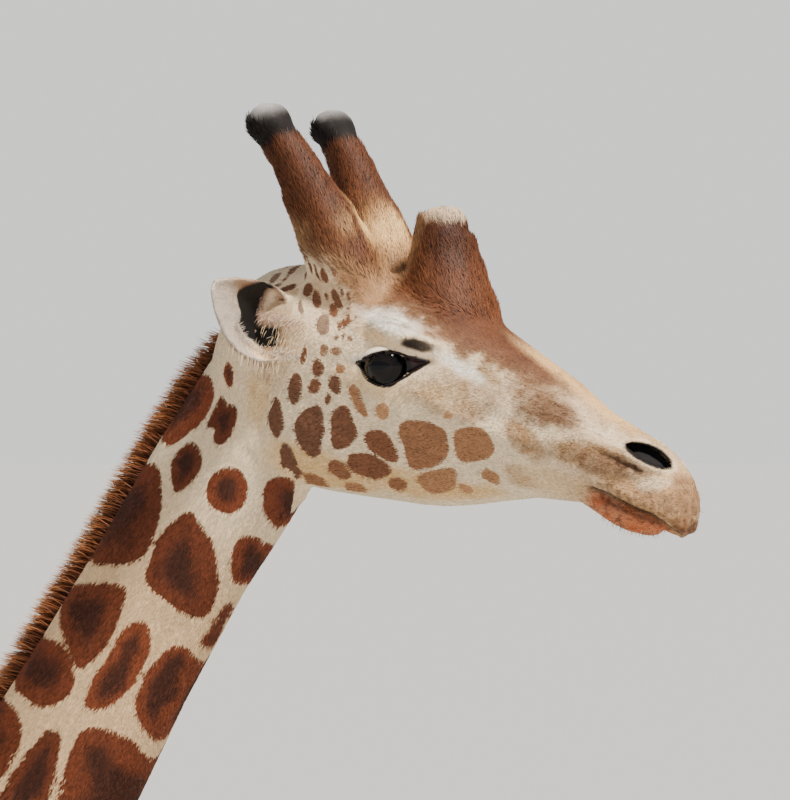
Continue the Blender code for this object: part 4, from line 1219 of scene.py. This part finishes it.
def unwrap(points, h, neck):
    """Places on a flat layout of the hide: each part of the body is rolled out round its own axis."""
    x, y, z = points.T
    u, v = np.zeros(len(points)), np.zeros(len(points))
    head = (neck[:, 0] < ON_HEAD) & (h[:, 2] < 0.125)
    horns = (neck[:, 0] < ON_HEAD) & ~head
    low = z < 1.72
    nape = ~head & ~horns & (neck[:, 0] < 1.3)
    trunk = ~head & ~horns & ~nape & ~low
    # part, angle round its axis, place along it, and its frame on the layout
    rows = (
        (head, np.arctan2(h[:, 1], -h[:, 2] - 0.02), (h[:, 0] + 0.16) / 0.86, (0.00, 0.66, 0.60, 0.34)),
        (horns, np.arctan2(h[:, 1], h[:, 0] - 0.06), (h[:, 2] - 0.12) / 0.24, (0.62, 0.66, 0.38, 0.34)),
        (nape, np.arctan2(y, neck[:, 1] - 0.03), neck[:, 0] / 1.3, (0.00, 0.34, 0.45, 0.30)),
        (trunk, np.arctan2(y, z - 2.25), (x + 1.6) / 2.2, (0.47, 0.34, 0.53, 0.30)),
    )
    for mask, angle, along, (left, bottom, wide, high) in rows:
        u[mask] = left + wide * (angle[mask] / math.tau + 0.5)
        v[mask] = bottom + high * np.clip(along[mask], 0, 1)
    # the four legs stand side by side at the foot of the layout
    number = (y > 0) * 1 + (x > -0.6) * 2
    for k in range(4):
        mask = low & (number == k) & ~head & ~horns & ~nape
        middle_x = (-1.2, 0.0)[k // 2]
        angle = np.arctan2(np.abs(y[mask]) - 0.22, x[mask] - middle_x)
        u[mask] = 0.25 * k + 0.24 * (angle / math.tau + 0.5)
        v[mask] = 0.32 * np.clip(z[mask] / 1.72, 0, 1)
    return np.stack([u, v], axis=1)


def random_shares(count):
    """Even random places within triangles, as shares of their three corners."""
    r1, r2 = np.sqrt(RNG.random(count)), RNG.random(count)
    return np.stack([1 - r1, r1 * (1 - r2), r1 * r2], axis=1)


class Hide:
    """The finished hide as arrays: its triangles and what its vertices carry."""

    def __init__(self, obj, carried):
        mesh = obj.data
        self.points, self.normals, self.corners = places_of(mesh), normals_of(mesh), triangles_of(mesh)
        a, b, c = (self.points[self.corners[:, k]] for k in range(3))
        self.areas = np.linalg.norm(np.cross(b - a, c - a), axis=1) / 2
        self.carried = carried
        bm = bmesh.new()
        bm.from_mesh(mesh)
        self.tree = BVHTree.FromBMesh(bm)
        bm.free()

    def nearest(self, places):
        """The closest places on the hide."""
        return np.array([self.tree.find_nearest(Vector(place))[0][:] for place in places])

    def scatter(self, weight, count):
        """Random places on the hide, thicker where weight is high, with all that it carries there."""
        chance = self.areas * weight[self.corners].mean(axis=1)
        corners = self.corners[RNG.choice(len(chance), count, p=chance / chance.sum())]
        shares = random_shares(count)

        def at(values):
            return (values[corners] * shares.reshape(count, 3, *[1] * (values.ndim - 1))).sum(axis=1)

        carried = {name: at(value) for name, value in self.carried.items()}
        return at(self.points), unit(at(self.normals)), carried


def tuft_colour(root, carried):
    """The marking at a tuft's root, hard edged but ragged from tuft to tuft."""
    reach = 0.0011 * np.where(carried["size"] > 1.2, 2.5, 1.0)
    field = carried["field"] + RNG.normal(0, 1, len(root)) * reach + 0.0016 * noise3(root, 130, 20)
    inside = ramp(field, -0.0008, 0.0008)[:, None]
    blotch = 0.28 * noise3(root, 30, 21) + 0.12 * noise3(root, 90, 22)
    dark = ramp(carried["middle"] + blotch, 0.25, 0.75) * 0.85
    patch = carried["patch"] + (COLOURS["core"] - carried["patch"]) * dark[:, None]
    return carried["ground"] * (1 - inside) + patch * inside


# a tuft is a flat wedge: two corners at its root, one on its back, one at its tip
TUFT_FACES = np.array([[0, 3, 2], [1, 2, 3], [0, 2, 1], [0, 1, 3]])
MAP_HALF = 0.0015                                  # half the side of a tuft's patch on the OFBake map
TUFT_MAP = np.array([(-MAP_HALF, -MAP_HALF), (MAP_HALF, -MAP_HALF), (0.0, 0.0), (0.0, MAP_HALF)])
BACK_AT = 0.38                                     # share of its length at which a tuft is thickest


def tufts(name, hide, weight, count, length, width, lift, material, spread=0.16, tips=1.25, dark=0.55):
    """Flat little wedges of hair that lie along the hide, in one piece for each side."""
    root, normal, carried = hide.scatter(weight, count)
    size = carried["size"] * RNG.uniform(0.8, 1.2, count)
    way = unit(carried["way"])
    side = np.cross(normal, way)
    turn = RNG.normal(0, spread, count)[:, None]
    way, side = way * np.cos(turn) + side * np.sin(turn), side * np.cos(turn) - way * np.sin(turn)
    long, wide = (length * size)[:, None], (width * size)[:, None]
    tilt = np.sin(lift * RNG.uniform(0.6, 1.4, count))[:, None]
    ahead = np.sqrt(1 - tilt ** 2)
    base = root - normal * wide * 0.20
    corners = np.stack([
        base - side * wide * 0.5, base + side * wide * 0.5,
        root + way * long * BACK_AT * ahead + normal * (long * BACK_AT * tilt + wide * 0.30),
        root + way * long * ahead + normal * long * tilt], axis=1)
    shading = np.stack([unit(normal - side * 0.45), unit(normal + side * 0.45), normal,
                        unit(normal + way * 0.25)], axis=1)
    colour = tuft_colour(root, carried)
    grain = 0.11 + 0.20 * ramp(colour.mean(axis=1), 0.60, 0.28)
    grain = grain + 0.12 * ramp(carried["head"][:, 0], 0.47, 0.54) * (carried["neck"][:, 0] < ON_HEAD)
    grade = (1 + grain * RNG.normal(0, 1, count)).clip(0.45, 1.6)[:, None, None] \
        * np.array([dark, dark, 0.95, tips])[None, :, None]
    colour = np.clip(colour[:, None, :] * grade, 0, 0.95)
    place = unwrap(root, head_frame(root), neck_frame(root))
    for word, half in (("left", root[:, 1] >= 0), ("right", root[:, 1] < 0)):
        chosen = np.flatnonzero(half)
        faces = (TUFT_FACES[None] + np.arange(len(chosen))[:, None, None] * 4).reshape(-1, 3)
        obj = mesh_from_arrays(f"{name}_{word}", corners[chosen].reshape(-1, 3), faces, material,
                               shading[chosen].reshape(-1, 3))
        write_attribute(obj.data, "coat", colour[chosen].reshape(-1, 3))
        uv = (place[chosen][:, None, :] + TUFT_MAP[None])[:, TUFT_FACES.ravel()]
        obj.data.uv_layers.new(name="OFBake").data.foreach_set("uv", uv.astype(np.float32).ravel())
        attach(obj, "root")


# =====================================================================  longer hair

def strands(name, root, ways, lengths, radius, colours, material, bend=None, joints=4, place=None):
    """Three-sided tapering locks; ways holds each one's direction at every joint."""
    count = len(root)
    share = np.linspace(0, 1, joints)
    points = np.empty((count, joints, 3))
    points[:, 0] = root
    for k in range(1, joints):
        points[:, k] = points[:, k - 1] + ways[:, k - 1] * (lengths / (joints - 1))[:, None]
    if bend is not None:
        points = points + bend
    ahead = unit(np.gradient(points, axis=1))
    helper = unit(np.cross(ahead[:, 0], RNG.normal(size=(count, 3))))
    first = unit(helper[:, None, :] - ahead * (helper[:, None, :] * ahead).sum(2, keepdims=True))
    second = np.cross(ahead, first)
    girth = radius[:, None] * (1 - share[None] ** 1.6 * 0.96)
    rings, shading = [], []
    for k in range(3):
        angle = math.tau * k / 3
        outward = first * math.cos(angle) + second * math.sin(angle)
        rings.append(points + outward * girth[:, :, None])
        shading.append(outward)
    rings = np.stack(rings, axis=2)                               # strand, joint, corner, xyz
    shading = np.stack(shading, axis=2)
    faces = [[0, 2, 1]]
    for j in range(joints - 1):
        for k in range(3):
            a, b = j * 3 + k, j * 3 + (k + 1) % 3
            faces += [[a, b, b + 3], [a, b + 3, a + 3]]
    last = (joints - 1) * 3
    faces.append([last, last + 1, last + 2])
    faces = np.array(faces)
    all_faces = (faces[None] + np.arange(count)[:, None, None] * joints * 3).reshape(-1, 3)
    obj = mesh_from_arrays(name, rings.reshape(-1, 3), all_faces, material, shading.reshape(-1, 3))
    write_attribute(obj.data, "coat", np.repeat(colours, 3, axis=1).reshape(-1, 3))
    place = unwrap(root, head_frame(root), neck_frame(root)) if place is None else place
    corner = np.stack([0.0015 * np.cos(np.arange(3) * 2.1), 0.0015 * np.sin(np.arange(3) * 2.1)], axis=1)
    uv = np.broadcast_to(place[:, None, None, :] + corner[None, None], (count, joints, 3, 2)).reshape(-1, 2)
    uv = uv[all_faces.ravel()].astype(np.float32)
    obj.data.uv_layers.new(name="OFBake").data.foreach_set("uv", uv.ravel())
    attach(obj, "root")
    return obj


# =====================================================================  building

def parted(whole, name, chosen, normals):
    """Some faces of the hide as a piece of its own, shaded as on the whole hide, so that no seam shows."""
    bm = bmesh.new()
    bm.from_mesh(whole.data)
    bm.faces.ensure_lookup_table()
    bmesh.ops.delete(bm, geom=[bm.faces[k] for k in np.flatnonzero(~chosen)], context="FACES")
    obj = shown_object(name, bm)
    sizes = read(whole.data.polygons, "loop_total", 1, np.int32)[:, 0]
    corners = read(whole.data.loops, "vertex_index", 1, np.int32)[:, 0]
    kept = np.unique(corners[np.repeat(chosen, sizes)])
    obj.data.materials.append(whole.data.materials[0])
    obj.data.shade_smooth()
    obj.data.normals_split_custom_set_from_vertices(normals[kept].astype(np.float32))
    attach(obj, "root")
    return obj


def build_hide():
    """The skin under the coat, shaped and painted, shown in two pieces that replace the flesh."""
    bm = hide_mesh()
    refine(bm, near_features)
    bmesh.ops.triangulate(bm, faces=[face for face in bm.faces if len(face.verts) > 4])
    obj = shown_object("hide", bm)
    mesh = obj.data
    edges = read(mesh.edges, "vertices", 2, np.int32)
    points = relaxed(places_of(mesh), edges, 14)
    move_to(mesh, points)
    normals = normals_of(mesh)
    fine = ramp(neck_frame(points)[:, 0], 0.45, 0.20)
    points = points - normals * (COAT_HEAD * fine + COAT_BODY * (1 - fine))[:, None]
    move_to(mesh, points)
    points, extra = sculpt(mesh, points, normals)
    # the lip's tip is a soft round lobe, and the skin of each foot reaches down into its claws
    h = head_frame(points)
    lobe = ramp(h[:, 0], 0.622, 0.645) * ramp(h[:, 2], 0.000, -0.024) * (neck_frame(points)[:, 0] < ON_HEAD)
    points = points + (relaxed(points, edges, 12, (0.5,)) - points) * lobe[:, None]
    points[:, 2] -= 0.024 * ramp(points[:, 2], 0.152, 0.129)
    move_to(mesh, points)
    normals = normals_of(mesh)
    h, neck, field, middle, ground, patch = markings(points, normals, extra)
    ahead = ramp(points[:, 0] - HEAD_AT.x - LID_MIDDLE.x, -0.03, 0.0)
    bare_lid = ramp(extra["lid"], 0.0085 + 0.0015 * ahead, 0.0065 + 0.001 * ahead)
    bare = np.maximum(bare_lid, ramp(extra["nostril"], 0.05, 0.3))
    bare = np.maximum(bare, ramp(extra["hollow"], 0.2, 0.6))
    painted = {"field": field, "middle": middle, "ground": ground, "patch": patch}
    for name, values in painted.items():
        write_attribute(mesh, name, values)
    write_attribute(mesh, "dry", 1 - 0.7 * ramp(extra["lid"], 0.0015, -0.0005))
    mesh.materials.append(hide_material())
    mesh.shade_smooth()
    # tufts are smallest on the muzzle and round the eye, and grow down the neck
    size = 0.66 + 0.40 * ramp(neck[:, 0], 0.0, 0.4) + 1.5 * ramp(neck[:, 0], 0.55, 1.3)
    on_head = neck[:, 0] < ON_HEAD
    size = np.where(on_head & (h[:, 0] > 0.30), 0.60, size)
    size = np.where(on_head & (h[:, 0] > 0.62) & (h[:, 2] < 0.0), 0.45, size)
    size = np.where(on_head & (h[:, 2] > 0.12), 0.78, size)
    size = size * (0.60 + 0.40 * ramp(extra["lid"], 0.010, 0.030))
    size = np.where((h[:, 2] > 0.02) & (h[:, 2] < 0.115) & (h[:, 0] > -0.02) & (h[:, 0] < 0.17), 0.52, size)
    size = size * (1 - 0.45 * ramp(points[:, 2], 0.9, 0.2))
    way = flow_field(points, normals, h, neck)
    lie = {"size": size, "way": way, "bare": bare, "head": h, "neck": neck, "lid": extra["lid"]}
    hide = Hide(obj, painted | lie)
    centres = neck_frame(read(mesh.polygons, "center").astype(float))
    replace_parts(parted(obj, "hide_head", centres[:, 0] < HIDE_CUT, normals), *FRONT_FLESH)
    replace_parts(parted(obj, "hide_body", centres[:, 0] >= HIDE_CUT, normals), *REAR_FLESH)
    bpy.data.objects.remove(obj)
    return hide


def build_fur(hide):
    """The short coat, region by region: the regions fade into one another."""
    material = coat_material("short_hair")
    points, h, neck = hide.points, hide.carried["head"], hide.carried["neck"]
    bare = 1 - hide.carried["bare"]
    bare = bare * (1 - ramp(h[:, 2], 0.262, 0.275) * (h[:, 0] < 0.0))
    horn = ramp(h[:, 2], 0.115, 0.135)
    face = ramp(neck[:, 0], 0.15, 0.10) * (1 - horn)
    tufts("coat_face", hide, face * bare, 96000, 0.0070, 0.0019, 0.13, material, dark=0.62, tips=1.18)
    horn = horn * bare * ramp(neck[:, 0], 0.1, 0.05)
    tufts("coat_horns", hide, horn, 28000, 0.0180, 0.0024, 0.18, material, spread=0.24, dark=0.68)
    nape = ramp(neck[:, 0], 0.10, 0.15) * ramp(neck[:, 0], 0.78, 0.72)
    tufts("coat_upper_neck", hide, nape, 71000, 0.0068, 0.0019, 0.12, material, dark=0.66)
    lower = ramp(neck[:, 0], 0.72, 0.78) * ramp(points[:, 2], 2.2, 2.4) * ramp(neck[:, 0], 2.2, 2.1)
    tufts("coat_lower_neck", hide, lower, 29000, 0.0125, 0.0024, 0.12, material)
    trunk = np.clip(ramp(neck[:, 0], 0.72, 0.78) - lower, 0, 1) * ramp(points[:, 2], 1.65, 1.75)
    tufts("coat_trunk", hide, trunk, 32000, 0.0125, 0.0026, 0.12, material)
    legs = ramp(points[:, 2], 1.75, 1.65)
    tufts("coat_legs", hide, legs, 32000, 0.0125, 0.0026, 0.12, material)


def on_node(name, count):
    """Random places on a solid's surface."""
    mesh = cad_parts[name].data
    points = places_of(mesh)[triangles_of(mesh)]
    areas = np.linalg.norm(np.cross(points[:, 1] - points[:, 0], points[:, 2] - points[:, 0]), axis=1)
    chosen = RNG.choice(len(areas), count, p=areas / areas.sum())
    return (points[chosen] * random_shares(count)[:, :, None]).sum(axis=1)


def build_mane(hide):
    """Stiff upright hair along the crest, in an upper and a lower piece."""
    count = 15000
    root = hide.nearest(on_node("mane", count))
    neck = neck_frame(root)
    from_nape, from_withers = np.array([-0.85, 0, 0.527]), np.array([-0.45, 0, 0.9])
    crest = from_nape + (from_withers - from_nape) * ramp(neck[:, 0], 1.9, 2.5)[:, None]
    ahead = np.stack([crest[:, 2], np.zeros(count), -crest[:, 0]], axis=1)    # up the neck
    root[:, 1] = np.clip(RNG.normal(0, 0.008, count), -0.017, 0.017)
    root = hide.nearest(root)
    start = ramp(neck[:, 0], 0.02, 0.14) * 0.30 + 0.70
    end = ramp(root[:, 0], 0.42, 0.60) * 0.45 + 0.55
    lengths = 0.050 * start * end * RNG.uniform(0.66, 1.02, count)
    splay = root[:, 1] * 9 + RNG.normal(0, 0.10, count)
    lean = RNG.normal(-0.14, 0.14, count)
    clump = 0.12 * noise3(root, 60, 30) + 0.10 * noise3(root, 22, 32)
    first = unit(crest + ahead * (lean + clump)[:, None] + np.array([0, 1, 0]) * splay[:, None])
    later = unit(first - ahead * 0.22 + np.array([0, 1, 0]) * RNG.normal(0, 0.08, count)[:, None])
    ways = np.stack([first, later], axis=1)
    root = root - first * 0.004
    grade = RNG.normal(1, 0.22, count).clip(0.5, 1.7) * (1 + 0.25 * noise3(root, 40, 31))
    low = np.tile(np.array([0.070, 0.019, 0.008]), (count, 1))
    mid = np.array([0.230, 0.075, 0.026]) * grade[:, None]
    tip = np.array([0.52, 0.22, 0.080]) * grade[:, None]
    colours = np.stack([low, mid, tip], axis=1).clip(0, 0.9)
    material = coat_material("mane_hair", 0.5)
    pieces = []
    for word, part in zip(("upper", "lower"), np.array_split(np.argsort(neck[:, 0]), 2)):
        radius = RNG.uniform(0.0007, 0.0013, len(part))
        pieces.append(strands(f"mane_hair_{word}", root[part], ways[part], lengths[part], radius,
                              colours[part], material, joints=3))
    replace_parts(pieces[0], "mane")
    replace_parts(pieces[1], "mane")


def build_tail(hide):
    """Long black locks, the first of them rooted on the dock's end, which part a little towards the ends."""
    low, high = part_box("tail_switch")
    count, joints = 2000, 7
    middle_x = (low.x + high.x) / 2
    across = Vector(((high.x - low.x) / 2, (high.y - low.y) / 2, 0))
    start = RNG.random(count)
    angle = RNG.random(count) * math.tau
    spread = np.sqrt(RNG.random(count))
    length = high.z - low.z
    cosine, sine, flat = np.cos(angle), np.sin(angle), np.zeros(count)
    root = np.stack([middle_x + 0.30 * across.x * spread * cosine, 0.30 * across.y * spread * sine,
                     high.z + 0.15 - start * (0.15 + length * 0.35)], axis=1)
    on_dock = root[:, 2] > high.z + 0.02
    beside = root + 0.05 * np.stack([cosine, sine, flat], axis=1)
    root[on_dock] = hide.nearest(beside[on_dock])
    lengths = (root[:, 2] - low.z) * RNG.uniform(0.72, 0.99, count)
    share = np.linspace(0, 1, joints)
    down = np.tile(np.array([0, 0, -1.0]), (count, joints - 1, 1))
    reach = 0.62 * spread
    out = np.stack([across.x * reach * cosine, across.y * reach * sine, flat], axis=1)
    fan = np.sin(share * math.pi * 0.72)[None, :, None] * out[:, None, :]
    wave = 0.006 * np.sin(share[None, :] * RNG.uniform(5, 9, count)[:, None] + angle[:, None] * 3)
    bend = fan + wave[:, :, None] * np.stack([-sine, cosine, flat], axis=1)[:, None, :]
    grade = RNG.normal(1, 0.25, count).clip(0.4, 1.8)
    tone = np.array([0.020, 0.015, 0.013]) * grade[:, None, None] * (1 + 0.8 * share[None, :, None])
    place = np.stack([0.5 + 0.45 * spread * cosine, 0.5 + 0.45 * spread * sine], axis=1)
    radius = RNG.uniform(0.0016, 0.0030, count)
    material = coat_material("tail_hair", 0.42)
    obj = strands("tail_tassel", root, down, lengths, radius, tone.clip(0, 0.9), material, bend, joints,
                  place)
    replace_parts(obj, "tail_switch")


def fine_hair(name, hide, wanted, count, way, stand, length, thick, low, high, spread, droop=(0, 0, -0.25)):
    """Single hairs that lean ahead, outward and up as way says, stand off the hide, and droop to the tip."""
    root, normal = hide.scatter(wanted, count)[:2]
    ahead, outward, up = way
    first = np.stack([np.full(count, ahead), outward * np.sign(root[:, 1]), np.full(count, up)], axis=1)
    first = unit(unit(first + stand * normal) + RNG.normal(0, spread, (count, 3)))
    later = unit(first + np.array(droop))
    last = unit(later + np.array(droop))
    share = RNG.random(count)[:, None]
    tone = np.array(low) + (np.array(high) - np.array(low)) * share
    tone = tone[:, None, :] * np.array([0.75, 0.95, 1.1, 1.2])[None, :, None]
    lengths = length * RNG.uniform(0.55, 1.1, count)
    radius = thick * RNG.uniform(0.7, 1.2, count)
    strands(name, root - normal * 0.0006, np.stack([first, later, last], axis=1), lengths, radius,
            tone.clip(0, 0.95), coat_material(name, 0.5))


def build_fine_hair(hide):
    """Hair in and before the ears, lashes, and the short whiskers of lips and chin."""
    points, h, lid = hide.points, hide.carried["head"], hide.carried["lid"]
    u, out, w = h[:, 0], np.abs(h[:, 1]), h[:, 2]
    share, down, front = ear_frame(points)
    deep = hollow_depth(share, down)
    at_ear = (share > -0.05) & (share < 0.30) & (out > 0.070) & (np.abs(front) < 0.05)
    tragus = hill(deep, -0.004, 0.003) * at_ear * (down > -0.035) * ramp(hide.normals[:, 0], -0.2, 0.0)
    on_edge = (share > 0.06) & (share < 0.75) & (out > 0.085) & (np.abs(front) < 0.05) & (down > 0.012)
    lower_edge = hill(deep, -0.008, 0.006) * on_edge
    cheek = hill(u, 0.045, 0.020) * hill(w, -0.012, 0.045) * (out > 0.06)
    chin = ramp(u, 0.530, 0.550) * ramp(w, -0.048, -0.060)
    lips = ramp(u, 0.560, 0.600) * ramp(w, 0.015, -0.01) * ramp(w, -0.046, -0.036)
    above = points[:, 2] > HEAD_AT.z + LID_MIDDLE.z
    lashes = hill(lid, 0.0012, 0.0012) * above * (lid < 0.5) * ramp(points[:, 0] - HEAD_AT.x, 0.185, 0.205)
    fine_hair("ear_hair_front", hide, tragus, 700, (-0.35, 0.75, -0.35), 0.35, 0.011, 0.00050,
              (0.62, 0.36, 0.24), (0.86, 0.74, 0.62), spread=0.18)
    fine_hair("ear_hair_edge", hide, lower_edge, 900, (0.15, 0.5, 0.25), 0.5, 0.013, 0.00050,
              (0.80, 0.72, 0.64), (0.92, 0.88, 0.82), droop=(0, 0, -0.1), spread=0.22)
    fine_hair("ear_hair_root", hide, cheek, 900, (-0.25, 0.15, -1.0), 0.25, 0.020, 0.00060,
              (0.72, 0.50, 0.26), (0.90, 0.78, 0.62), spread=0.14)
    fine_hair("chin_whiskers", hide, chin, 420, (0.1, 0.0, -0.35), 1.0, 0.011, 0.00035,
              (0.10, 0.05, 0.03), (0.60, 0.40, 0.26), spread=0.18)
    fine_hair("lip_whiskers", hide, lips, 130, (0.1, 0.0, -0.35), 1.0, 0.009, 0.00026,
              (0.06, 0.035, 0.02), (0.30, 0.19, 0.11), spread=0.22)
    fine_hair("lashes", hide, lashes, 130, (0.35, 0.8, -0.45), 0.0, 0.014, 0.00045,
              (0.008, 0.006, 0.006), (0.02, 0.014, 0.012), droop=(0, 0, 0.12), spread=0.10)


def build_eyes(hide):
    """A round eye on each side, and the moist rim of its lids."""
    wet = wet_material()
    for side, centre in EYES.items():
        bm = bmesh.new()
        bmesh.ops.create_uvsphere(bm, u_segments=72, v_segments=48, radius=EYE_RADIUS)
        bmesh.ops.rotate(bm, verts=bm.verts, matrix=Matrix.Rotation(math.radians(90), 3, "X"))
        out = SIDES[side]
        for vertex in bm.verts:
            gaze = vertex.co.y * out / EYE_RADIUS
            if gaze > 0.80:                        # the cornea stands a little proud
                vertex.co.y += out * 0.0018 * ramp(gaze, 0.80, 0.98)
        bm.transform(Matrix.Translation(centre))
        obj = shown_object(f"eyeball_{side}", bm)
        obj.data.materials.append(eye_material(centre))
        obj.data.shade_smooth()
        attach(obj, "root")
        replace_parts(obj, f"eye_{side}")
        build_lid_rim(side, hide.tree, wet)


RIM_TURNS, RIM_SIDES = 72, 8                       # steps round the opening, and round the rim itself
RIM_RADIUS = 0.0019


def build_lid_rim(side, tree, wet):
    """A moist dark rim that follows both lids' edges round the opening."""
    out = SIDES[side]
    path = []
    for k in range(RIM_TURNS):
        angle = math.tau * k / RIM_TURNS
        t = math.cos(angle)
        upper, lower = lid_curve(np.array([t]))
        up = 1 if math.sin(angle) > 0 else -1
        level = upper[0] if up > 0 else -lower[0]
        place = HEAD_AT + LID_MIDDLE + Vector((t * LID_HALF, 0, level))
        hits = []
        for nudge in (-0.002, 0.0, 0.002):
            start = place + Vector((nudge * t, out * 0.25, nudge * up))
            hit = tree.ray_cast(start, Vector((0, -out, 0)))
            hits.append(abs(hit[0].y) if hit[0] is not None else 0.11)
        path.append(Vector((place.x, out * (max(hits) - 0.0012), place.z)))
    for _ in range(3):
        path = [(path[k - 1] + path[k] * 2 + path[(k + 1) % RIM_TURNS]) / 4 for k in range(RIM_TURNS)]
    bm = bmesh.new()
    rings = []
    for k, point in enumerate(path):
        ahead = (path[(k + 1) % RIM_TURNS] - path[k - 1]).normalized()
        across = ahead.cross(Vector((0, out, 0))).normalized()
        deep = ahead.cross(across) * 1.2
        ring = []
        for j in range(RIM_SIDES):
            turn = math.tau * j / RIM_SIDES
            ring.append(bm.verts.new(point + (across * math.cos(turn) + deep * math.sin(turn)) * RIM_RADIUS))
        rings.append(ring)
    for k in range(RIM_TURNS):
        one, two = rings[k], rings[(k + 1) % RIM_TURNS]
        for j in range(RIM_SIDES):
            following = (j + 1) % RIM_SIDES
            bm.faces.new((one[j], one[following], two[following], two[j]))
    bmesh.ops.recalc_face_normals(bm, faces=bm.faces)
    obj = shown_object(f"lid_rim_{side}", bm)
    obj.data.materials.append(wet)
    obj.data.shade_smooth()
    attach(obj, "root")


def build_hooves():
    """Eight claws, rounded off and flat underneath."""
    horn = horn_material()
    for end in ("front", "hind"):
        for side in SIDES:
            for claw in ("inner", "outer"):
                name = f"hoof_{end}_{side}_{claw}"
                obj = shown_object(f"claw_{end}_{side}_{claw}", remeshed([name], 0.0045))
                mesh = obj.data
                points = relaxed(places_of(mesh), read(mesh.edges, "vertices", 2, np.int32), 20)
                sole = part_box(name)[0].z
                points[:, 2] = np.where(points[:, 2] < sole + 0.004, sole, points[:, 2])
                move_to(mesh, points)
                mesh.materials.append(horn)
                mesh.shade_smooth()
                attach(obj, "root")
                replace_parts(obj, name)


def build_stage():
    """A pale floor, a bright sky that the camera sees as white, and a low warm sun."""
    bm = bmesh.new()
    bmesh.ops.create_grid(bm, x_segments=1, y_segments=1, size=400)
    floor = shown_object("floor", bm)
    floor.data.materials.append(new_material("floor", 0.9, Base_Color=(0.52, 0.51, 0.495, 1))[0])
    world = bpy.data.worlds.new("studio")
    bpy.context.scene.world = world
    world.use_nodes = True
    tree = world.node_tree
    lit = tree.nodes["Background"]
    lit.inputs["Color"].default_value = (0.90, 0.92, 0.95, 1)
    lit.inputs["Strength"].default_value = 0.62
    seen = tree.nodes.new("ShaderNodeBackground")
    seen.inputs["Color"].default_value = (0.98, 0.97, 0.95, 1)
    seen.inputs["Strength"].default_value = 1.085
    path, pick = tree.nodes.new("ShaderNodeLightPath"), tree.nodes.new("ShaderNodeMixShader")
    tree.links.new(path.outputs["Is Camera Ray"], pick.inputs[0])
    tree.links.new(lit.outputs[0], pick.inputs[1])
    tree.links.new(seen.outputs[0], pick.inputs[2])
    tree.links.new(pick.outputs[0], tree.nodes["World Output"].inputs[0])
    sun = bpy.data.lights.new("sun", "SUN")
    sun.energy = 6.8
    sun.angle = math.radians(9)
    sun.color = (1.0, 0.95, 0.87)
    lamp = bpy.data.objects.new("sun", sun)
    lamp.rotation_euler = Vector((0.68, -0.34, 0.95)).to_track_quat("Z", "Y").to_euler()
    bpy.context.scene.collection.objects.link(lamp)


def build_camera():
    """Looks at the head from its right side, a little from the front, from far off."""
    turn = math.radians(24)
    right = Vector((math.cos(turn), math.sin(turn), 0))
    back = Vector((math.sin(turn), -math.cos(turn), 0))
    aim = HEAD_AT + right * 0.154 + Vector((0, 0, -0.098))
    away, seen = 8.0, 1.12
    data = bpy.data.cameras.new("camera")
    data.sensor_width = 36
    data.lens = data.sensor_width * away / seen
    data.clip_end = 400
    camera = bpy.data.objects.new("camera", data)
    camera.matrix_world = Matrix((right, Vector((0, 0, 1)), back)).transposed().to_4x4()
    camera.matrix_world.translation = aim + back * away
    bpy.context.scene.collection.objects.link(camera)
    bpy.context.scene.camera = camera


hide = build_hide()
build_fur(hide)
build_mane(hide)
build_tail(hide)
build_fine_hair(hide)
build_eyes(hide)
build_hooves()
build_stage()
build_camera()
